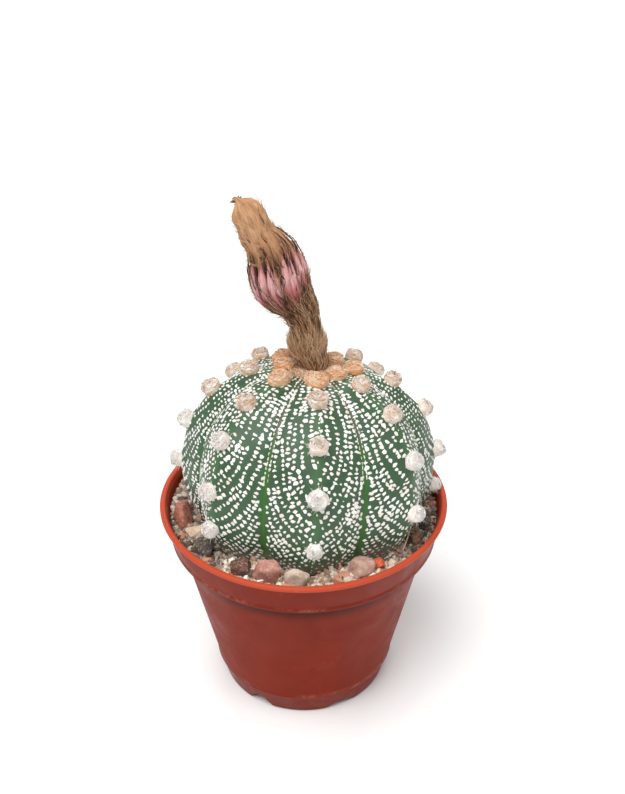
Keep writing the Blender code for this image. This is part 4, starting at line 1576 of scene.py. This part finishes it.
# Bristles lie over the foot of the tepals.
for _ in range(FOOT_BRISTLES):
    ring = random.uniform(tube_end - 4, tube_end + 4)
    turn = random.uniform(0, 2 * math.pi)
    splay = abs(random.normal(0, 0.05))
    length = random.uniform(0.0018, 0.0036)
    width = random.uniform(0.00008, 0.00015)
    lay_bristle(scales, ring, turn, length, splay, width, random.beta(1.0, 2.0), 0.2, 0.00012)
# Long fine hairs run up over them.
for _ in range(LONG_HAIRS):
    ring = random.uniform(tube_end - 3, tube_end + 10)
    turn = random.uniform(0, 2 * math.pi)
    length = random.uniform(0.0030, 0.0065)
    splay = abs(random.normal(0, 0.05))
    tint = random.beta(1.0, 1.6)
    lay_bristle(scales, ring, turn, length, splay, 0.00007, tint, 0.6, 0.00034)
# Broad dark ones lie between them.
for _ in range(DARK_BRISTLES):
    ring = random.uniform(tube_end - 1, tepal_ends - 3)
    turn = random.uniform(0, 2 * math.pi)
    length = random.uniform(0.0030, 0.0060)
    lay_bristle(scales, ring, turn, length, abs(random.normal(0, 0.03)), 0.00018, 0.0, 0.6, 0.00030)
# Fine hairs stand off all round.
for _ in range(LOOSE_HAIRS):
    ring = random.uniform(tube_end - 4, tepal_ends + 15)
    turn = random.uniform(0, 2 * math.pi)
    length = random.uniform(0.0016, 0.0034)
    splay = random.uniform(0.25, 0.8)
    tint = random.uniform(0.1, 0.8)
    lay_bristle(scales, ring, turn, length, splay, 0.00008, tint, 0.3, 0.00010)
# Dark strips lie in the folds of the petals above: painted shade in the folds.
for _ in range(FOLD_SHADE_STRIPS):
    ring = random.uniform(tepal_ends - 3, flower_length - 12)
    turn = random.uniform(0, 2 * math.pi)
    length = random.uniform(0.0022, 0.0044)
    lay_bristle(scales, ring, turn, length, 0.0, random.uniform(0.00022, 0.00040), 0.0, 0.0, 0.00016)
tepal_hair = make_piece("tepal_bristles", scales.points, scales.faces, bristle)
add_mask(tepal_hair, "tint", scales.tints)
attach(tepal_hair, "root")

# ---- Dried petals ----
# The petals themselves have shrivelled into one folded, papery bundle that leans to the left and ends
# blunt. It is tan and ochre, with deep slits between the folds, darkened by painted shade, and a little
# pink left in it.

petal_start = tepal_ends - 10
# each layer of petals: how many, their height off the flower's outline, and their width
PETAL_LAYERS = ((8, -0.00080, 0.0034), (7, -0.00045, 0.0029))
CLOUD_WIDTH = 0.00238
ROSY_FLECK = 0.00111

# Papery petal: matt and creased, tan to ochre in clouds, with dark brown edges that are partly their own
# colour and partly painted shade where they tuck into the folds, and rosy flecks.
papery, shader = new_material("papery_petal", roughness=0.72, ior=1.45)
place = add_node(papery, "ShaderNodeTexCoord").outputs["Object"]
cloud = add_node(
    papery,
    "ShaderNodeTexNoise",
    {"Vector": place, "Scale": 1 / CLOUD_WIDTH, "Detail": 5.0, "Roughness": 0.62},
)
tan = add_node(
    papery,
    "ShaderNodeMix",
    {"Factor": cloud.outputs["Fac"], 6: linear("A06535"), 7: linear("F0C498")},
    data_type="RGBA",
)
edge = add_node(papery, "ShaderNodeAttribute", attribute_name="edge").outputs["Fac"]
# Partly painted shade: the edges darken where they tuck into the folds.
edge_dark_and_shade = add_node(
    papery, "ShaderNodeMapRange", {"Value": edge, "From Min": 0.64, "From Max": 0.95, "To Max": 0.95}
)
edged = add_node(
    papery,
    "ShaderNodeMix",
    {"Factor": edge_dark_and_shade.outputs["Result"], 6: tan.outputs[2], 7: linear("4E2F22")},
    data_type="RGBA",
)
rosy = add_node(papery, "ShaderNodeTexNoise", {"Vector": place, "Scale": 1 / ROSY_FLECK, "Detail": 2.0})
rosy_share = add_node(
    papery,
    "ShaderNodeMapRange",
    {"Value": rosy.outputs["Fac"], "From Min": 0.66, "From Max": 0.74, "To Max": 0.6},
)
rosed = add_node(
    papery,
    "ShaderNodeMix",
    {"Factor": rosy_share.outputs["Result"], 6: edged.outputs[2], 7: linear("B4645A")},
    data_type="RGBA",
)
own_tone = add_node(papery, "ShaderNodeAttribute", attribute_name="tone").outputs["Fac"]
tone_share = add_node(papery, "ShaderNodeMath", {0: own_tone, 1: 0.3}, operation="MULTIPLY")
toned = add_node(
    papery,
    "ShaderNodeMix",
    {"Factor": tone_share.outputs["Value"], 6: rosed.outputs[2], 7: linear("7C4E2E")},
    data_type="RGBA",
)
veins = vein_pattern(papery)
vein_share = add_node(
    papery,
    "ShaderNodeMapRange",
    {"Value": veins.outputs["Fac"], "From Min": 0.50, "From Max": 0.66, "To Max": 0.45},
)
veined = add_node(
    papery,
    "ShaderNodeMix",
    {"Factor": vein_share.outputs["Result"], 6: toned.outputs[2], 7: linear("6B4327")},
    data_type="RGBA",
)
# The lower part is a deeper brown.
along = add_node(papery, "ShaderNodeAttribute", attribute_name="along").outputs["Fac"]
foot_share = add_node(
    papery, "ShaderNodeMapRange", {"Value": along, "From Min": 0.62, "From Max": 0.20, "To Max": 0.62}
)
footed = add_node(
    papery,
    "ShaderNodeMix",
    {"Factor": foot_share.outputs["Result"], 6: veined.outputs[2], 7: linear("86552F")},
    data_type="RGBA",
)
feed(papery, shader, "Base Color", footed.outputs[2])
crease_bump = add_node(
    papery, "ShaderNodeBump", {"Height": veins.outputs["Fac"], "Strength": 0.7, "Distance": 0.0003}
)
feed(papery, shader, "Normal", crease_bump.outputs["Normal"])

random = np.random.default_rng(28)
petals = []
for layer, (count, lift, width) in enumerate(PETAL_LAYERS):
    for index in range(count):
        turn = 2 * math.pi * (index + 0.5 * layer + random.uniform(-0.2, 0.2)) / count
        petal = shrivelled_petal(
            petal_start + random.uniform(-2, 4),
            flower_length + random.uniform(-3, 0.5),
            turn,
            width=width * random.uniform(0.85, 1.15),
            twist=random.uniform(0.25, 0.95),
            raise_middle=0.00085,
            lift=lift,
            random=random,
            crumple=0.00055,
            tuck=0.0011,
        )
        petals.append(petal)
bundle = petal_piece("petal_bundle", petals, papery, random)
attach(bundle, "root")
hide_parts("dried_petals")

# The heart of the bundle: a dark brown core, painted shade that shows as the dark of the slits.
slit_shade_brown, shader = new_material("shaded_petal_heart", roughness=0.9, ior=1.45)
shader.inputs["Base Color"].default_value = linear("4A2C20")
points = []
faces = []
core_rings = list(range(tube_end, flower_length - 4, 2))
for ring in core_rings:
    for step in range(24):
        turn = 2 * math.pi * step / 24
        pit = noise.noise(Vector((math.cos(turn) * 2, math.sin(turn) * 2, ring * 0.2))) * 0.0002
        points.append(flower_point(ring, turn, pit - 0.0004, 0.86))
for row in range(len(core_rings) - 1):
    for step in range(24):
        after = (step + 1) % 24
        low = row * 24
        faces.append((low + step, low + after, low + 24 + after, low + 24 + step))
faces.append(tuple(range(len(points) - 24, len(points))))
core = make_piece("petal_heart", points, faces, slit_shade_brown)
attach(core, "root")

# ---- Roots ----
# A short tapered root stock goes down from the body into the soil. It is corky and brown, and nothing
# of it shows, so its CAD solid stays and only gets its bark.

BARK_CELL = 0.00111

# Corky bark: dry and matt, in two browns.
root_bark, shader = new_material("corky_root_bark", roughness=0.9, ior=1.45)
place = add_node(root_bark, "ShaderNodeTexCoord").outputs["Object"]
bark = add_node(
    root_bark, "ShaderNodeTexNoise", {"Vector": place, "Scale": 1 / BARK_CELL, "Detail": 5.0}
)
brown = add_node(
    root_bark,
    "ShaderNodeMix",
    {"Factor": bark.outputs["Fac"], 6: linear("5A4230"), 7: linear("9A7A58")},
    data_type="RGBA",
)
feed(root_bark, shader, "Base Color", brown.outputs[2])
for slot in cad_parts["roots"].material_slots:
    slot.material = root_bark

# ---- Potting soil ----
# Gritty cactus soil, filled in round the plant to just under the lip. Pale sand and pumice lie on top
# at the front, and dark peaty crumbs and clods lie at the sides and the back.

SOIL_COLUMNS = 240
SOIL_RINGS = 54
SOIL_INSIDE = 0.0100
GRIT_SIZE = 0.000588
GRAIN_COUNT = 8600
GRAIN_LEAST = 0.00015
GRAIN_SPREAD = 0.00060
GRAINS_INSIDE = 0.0145

soil_tree = cad_tree("soil")
outer_soil = pot_wall_radius(soil_high.z) - POT_WALL - 0.00006


def dark_share(bearing, point):
    """0 where the soil is pale sand, 1 where it is dark and peaty."""
    degrees = math.degrees((bearing + math.pi) % (2 * math.pi) - math.pi)
    side = smooth_step(34, 52, abs(degrees - 4))
    patch = noise.noise(point * 330) * 0.9 + noise.noise(point * 900) * 0.35
    return min(max(side * 0.85 + 0.10 + patch * 0.55, 0), 1)


points = []
faces = []
dark = []
for ring in range(SOIL_RINGS):
    radius = SOIL_INSIDE + (outer_soil - SOIL_INSIDE) * ring / (SOIL_RINGS - 1)
    for column in range(SOIL_COLUMNS):
        bearing = 2 * math.pi * column / SOIL_COLUMNS
        over = heading(bearing) * radius
        hit = soil_tree.ray_cast(over + Vector((0, 0, 0.06)), Vector((0, 0, -1)))
        height = hit[0].z if hit[0] is not None else soil_high.z - 0.002
        point = Vector((over.x, over.y, max(height, soil_high.z - 0.0045)))
        # Lumps of about 3 mm and 1.4 mm, with crumbs of 0.8 mm and 0.4 mm on them.
        rough = noise.noise(point * 300) * 0.00105 + abs(noise.noise(point * 700)) * 0.00070
        rough += noise.noise(point * 1300) * 0.00040 + abs(noise.noise(point * 2600)) * 0.00020 - 0.0002
        point.z += rough
        points.append(point)
        dark.append(dark_share(bearing, point))
for ring in range(SOIL_RINGS - 1):
    for column in range(SOIL_COLUMNS):
        after = (column + 1) % SOIL_COLUMNS
        low = ring * SOIL_COLUMNS
        faces.append((low + column, low + after, low + SOIL_COLUMNS + after, low + SOIL_COLUMNS + column))
rim_row = (SOIL_RINGS - 1) * SOIL_COLUMNS
for height in (step_top, step_foot, FOOT_HEIGHT, soil_low.z):
    base = len(points)
    for column in range(SOIL_COLUMNS):
        bearing = 2 * math.pi * column / SOIL_COLUMNS
        radius = pot_wall_radius(height) - POT_WALL - 0.0002
        points.append(heading(bearing) * radius + Vector((0, 0, height)))
        dark.append(1.0)
    for column in range(SOIL_COLUMNS):
        after = (column + 1) % SOIL_COLUMNS
        faces.append((rim_row + column, rim_row + after, base + after, base + column))
    rim_row = base
faces.append(tuple(range(len(points) - SOIL_COLUMNS, len(points))))

# Gritty soil: matt all over, from pale sand to dark peat, speckled at the size of its grit.
gritty_soil, shader = new_material("gritty_cactus_soil", roughness=0.95, ior=1.45)
place = add_node(gritty_soil, "ShaderNodeTexCoord").outputs["Object"]
grit_size = add_node(
    gritty_soil,
    "ShaderNodeTexNoise",
    {"Vector": place, "Scale": 1 / GRIT_SIZE, "Detail": 5.0, "Roughness": 0.75},
)
sandy = add_node(
    gritty_soil,
    "ShaderNodeMix",
    {"Factor": grit_size.outputs["Fac"], 6: linear("AB9785"), 7: linear("F8EFE2")},
    data_type="RGBA",
)
peaty = add_node(
    gritty_soil,
    "ShaderNodeMix",
    {"Factor": grit_size.outputs["Fac"], 6: linear("6E6156"), 7: linear("CFC2B4")},
    data_type="RGBA",
)
share = add_node(gritty_soil, "ShaderNodeAttribute", attribute_name="dark").outputs["Fac"]
mixed = add_node(
    gritty_soil,
    "ShaderNodeMix",
    {"Factor": share, 6: sandy.outputs[2], 7: peaty.outputs[2]},
    data_type="RGBA",
)
feed(gritty_soil, shader, "Base Color", mixed.outputs[2])
grit_bump = add_node(
    gritty_soil,
    "ShaderNodeBump",
    {"Height": grit_size.outputs["Fac"], "Strength": 0.8, "Distance": 0.0003},
)
feed(gritty_soil, shader, "Normal", grit_bump.outputs["Normal"])
soil = make_piece("soil_bed", points, faces, gritty_soil)
add_mask(soil, "dark", dark)
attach(soil, "root")
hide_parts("soil")

# Loose grains: crumbs of pumice, sand, bark and peat, each one angular and of one colour.
random = np.random.default_rng(64)
bed_tree = BVHTree.FromPolygons([Vector(p) for p in points], faces)
icosahedron = bmesh.new()
bmesh.ops.create_icosphere(icosahedron, subdivisions=1, radius=1.0)
grain_shape = [vertex.co.copy() for vertex in icosahedron.verts]
grain_faces = [tuple(vertex.index for vertex in face.verts) for face in icosahedron.faces]
icosahedron.free()
grains = {"pale": ([], [], []), "dark": ([], [], [])}
for _ in range(GRAIN_COUNT):
    bearing = random.uniform(0, 2 * math.pi)
    radius = math.sqrt(random.uniform(GRAINS_INSIDE**2, (outer_soil - 0.0001) ** 2))
    over = heading(bearing) * radius + Vector((0, 0, 0.06))
    hit = bed_tree.ray_cast(over, Vector((0, 0, -1)))
    if hit[0] is None:
        continue
    # Under the overhang of the plant there are grains too, but none inside it.
    roof = body_tree.ray_cast(hit[0], Vector((0, 0, 1)))
    if roof[0] is not None and roof[1].z > 0:
        continue
    is_dark = random.random() < dark_share(bearing, hit[0])
    size = GRAIN_LEAST + GRAIN_SPREAD * random.beta(1.0, 3.0)
    if is_dark:
        size *= 1.35
    if random.random() < 0.035:
        size = random.uniform(0.0006, 0.0012)
    turn = Matrix.Rotation(random.uniform(0, 6.28), 3, Vector([float(v) for v in random.normal(0, 1, 3)]))
    flat = random.uniform(0.55, 1.0)
    centre = hit[0] + Vector((0, 0, size * 0.25))
    room = outer_soil - size * 1.3
    if math.hypot(centre.x, centre.y) > room:
        scale = room / math.hypot(centre.x, centre.y)
        centre.x *= scale
        centre.y *= scale
    found = grains["dark" if is_dark else "pale"]
    start = len(found[0])
    tint = random.random()
    for corner in grain_shape:
        knock = 1 + random.uniform(-0.28, 0.22)
        found[0].append(centre + turn @ Vector((corner.x, corner.y * flat, corner.z)) * size * knock)
    found[1].extend(tuple(start + v for v in face) for face in grain_faces)
    found[2].extend([tint] * len(grain_shape))

# name, how it is called as a stuff, its colours from end to end
GRAIN_STUFFS = (
    ("pale", "pumice_and_sand", ("F1E9DC", "D9CBB6", "BFA68E", "A98A74", "C98F74")),
    ("dark", "peat_and_bark", ("5C5047", "827467", "A0917F", "9E775F", "C0B2A2")),
)
for name, stuff, colours in GRAIN_STUFFS:
    # Crumbs of mineral and bark: dry and matt, each with its own colour.
    material, shader = new_material(stuff, roughness=0.92, ior=1.5)
    tint = add_node(material, "ShaderNodeAttribute", attribute_name="tint").outputs["Fac"]
    colour = add_node(material, "ShaderNodeValToRGB", {"Fac": tint})
    ramp = colour.color_ramp
    ramp.interpolation = "CONSTANT"
    ramp.elements[0].color = linear(colours[0])
    ramp.elements[1].position = 0.8
    ramp.elements[1].color = linear(colours[4])
    for position, srgb in ((0.25, colours[1]), (0.5, colours[2]), (0.68, colours[3])):
        stop = ramp.elements.new(position)
        stop.color = linear(srgb)
    feed(material, shader, "Base Color", colour.outputs["Color"])
    piece = make_piece(name + "_grains", grains[name][0], grains[name][1], material, smooth=False)
    add_mask(piece, "tint", grains[name][2])
    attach(piece, "root")

# ---- Stones ----
# Ten bits of lava, gravel and bark lie pressed into the soil between the plant and the lip. They are
# broken, not rounded: flat fracture faces, knocked edges and pitted skins.

PIT_SPACING = 0.000357
# node, slot, light and dark colour, how sharp its faces are, pit depth as a share of its size, growth
STONES = (
    ("lava_stone", "red_lava", "BC7A66", "84432F", 0.80, 0.060, 1.5),
    ("pale_stone", "pale_gravel", "DCC3AE", "B08D76", 0.84, 0.030, 1.3),
    ("dark_clod", "dark_earth", "6B6056", "2F2924", 0.90, 0.110, 1.25),
    ("brown_stone", "brown_lava", "7C5242", "3E2A22", 0.82, 0.080, 1.25),
    ("pink_stone", "pink_gravel", "C49384", "985C4D", 0.80, 0.035, 1.3),
    ("sand_stone", "sand_gravel", "E0CFBD", "B0937C", 0.82, 0.030, 1.3),
    ("rose_stone", "rose_gravel", "CFB09E", "A9796A", 0.80, 0.035, 1.35),
    ("orange_chip", "orange_gravel", "E0653A", "A9421F", 0.82, 0.040, 1.25),
    ("brown_chip", "brown_bark", "96745C", "5A4130", 0.84, 0.070, 1.3),
    ("dark_stone", "dark_earth", "5A4F46", "2B2521", 0.84, 0.080, 1.3),
)
for number, (node_name, slot, light, shade, sharpness, pits, growth) in enumerate(STONES):
    random = np.random.default_rng(500 + number)
    shape = bmesh.new()
    shape.from_mesh(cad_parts[node_name].data)
    bmesh.ops.remove_doubles(shape, verts=shape.verts, dist=1e-7)
    bmesh.ops.subdivide_edges(shape, edges=shape.edges, cuts=3, use_grid_fill=True, smooth=1.0)
    low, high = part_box(node_name)
    middle = (low + high) / 2
    half_size = (high - low) / 2
    size = max(half_size)
    seed = Vector([float(v) for v in random.uniform(-30, 30, 3)])
    cuts = []
    for _ in range(13):
        aim = Vector([float(v) for v in random.normal(0, 1, 3)]).normalized()
        cuts.append((aim, random.uniform(sharpness - 0.10, sharpness + 0.06)))
    for vertex in shape.verts:
        unit = Vector([(vertex.co[i] - middle[i]) / half_size[i] for i in range(3)]) * 1.07
        for aim, depth in cuts:
            over = unit.dot(aim) - depth
            if over > 0:
                unit -= aim * over * 0.93
        rough = noise.noise(unit * 2.3 + seed) * 0.05 + noise.noise(unit * 6 + seed) * pits * 0.7
        rough -= max(noise.noise(unit * 11 + seed), 0) * pits
        unit *= 1 + rough
        vertex.co = middle + Vector([unit[i] * half_size[i] for i in range(3)]) * growth
    bmesh.ops.recalc_face_normals(shape, faces=shape.faces)
    mesh = bpy.data.meshes.new(node_name + "_rock")
    shape.to_mesh(mesh)
    shape.free()
    # Broken rock or earth: dry and matt, cloudy in two tones, pitted, with pale dust in its pores.
    material, shader = new_material("broken_" + node_name, roughness=0.88, ior=1.52)
    place = add_node(material, "ShaderNodeTexCoord").outputs["Object"]
    cloud = add_node(
        material,
        "ShaderNodeTexNoise",
        {"Vector": place, "Scale": 1.6 / size, "Detail": 6.0, "Roughness": 0.7},
    )
    spread = add_node(
        material,
        "ShaderNodeMapRange",
        {"Value": cloud.outputs["Fac"], "From Min": 0.32, "From Max": 0.66},
    )
    tone = add_node(
        material,
        "ShaderNodeMix",
        {"Factor": spread.outputs["Result"], 6: linear(shade), 7: linear(light)},
        data_type="RGBA",
    )
    pores = add_node(
        material, "ShaderNodeTexNoise", {"Vector": place, "Scale": 1 / PIT_SPACING, "Detail": 4.0}
    )
    dust = add_node(
        material,
        "ShaderNodeMapRange",
        {"Value": pores.outputs["Fac"], "From Min": 0.56, "From Max": 0.72, "To Max": 0.5},
    )
    dusty = add_node(
        material,
        "ShaderNodeMix",
        {"Factor": dust.outputs["Result"], 6: tone.outputs[2], 7: linear("E3D6C8")},
        data_type="RGBA",
    )
    feed(material, shader, "Base Color", dusty.outputs[2])
    pitted = add_node(
        material,
        "ShaderNodeBump",
        {"Height": pores.outputs["Fac"], "Strength": 0.7, "Distance": 0.0002},
    )
    feed(material, shader, "Normal", pitted.outputs["Normal"])
    mesh.materials.clear()
    mesh.materials.append(material)
    mesh.shade_smooth()
    mesh.set_sharp_from_angle(angle=math.radians(28))
    stone = bpy.data.objects.new(node_name + "_rock", mesh)
    bpy.context.scene.collection.objects.link(stone)
    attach(stone, "root")
    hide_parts(node_name)

# ---- Straw ----
# A few dry stalks and rootlets from the soil mix stick up beside the plant on the right and the left.
# Each is one thin, tapered stem with a slight bend, as dull and brown as the flower's bristles.

# bearing in degrees, distance from the axis, length, lean outwards and sideways
STRAWS = (
    (50, 0.0234, 0.0066, 0.15, -0.45),
    (57, 0.0226, 0.0032, -0.25, 0.50),
    (-50, 0.0236, 0.0030, 0.20, 0.60),
    (118, 0.0234, 0.0040, -0.10, 0.40),
    (-140, 0.0236, 0.0036, 0.05, -0.50),
)
straws = Wool()
random = np.random.default_rng(7)
for bearing, distance, length, outwards, sideways in STRAWS:
    out = heading(math.radians(bearing))
    hit = bed_tree.ray_cast(out * distance + Vector((0, 0, 0.06)), Vector((0, 0, -1)))
    if hit[0] is None:
        continue
    way = (Vector((0, 0, 1)) + out * outwards + out.cross(Vector((0, 0, 1))) * sideways).normalized()
    path = []
    for i in range(9):
        part = i / 8
        bend = out * -0.0006 * part**2
        path.append(hit[0] + way * length * (part - 0.08) + bend)
    add_hair(straws, path, 0.00038, random.uniform(0.65, 0.95))
straw = make_piece("dry_straw", straws.points, straws.faces, bristle)
add_mask(straw, "tint", straws.tints)
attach(straw, "root")
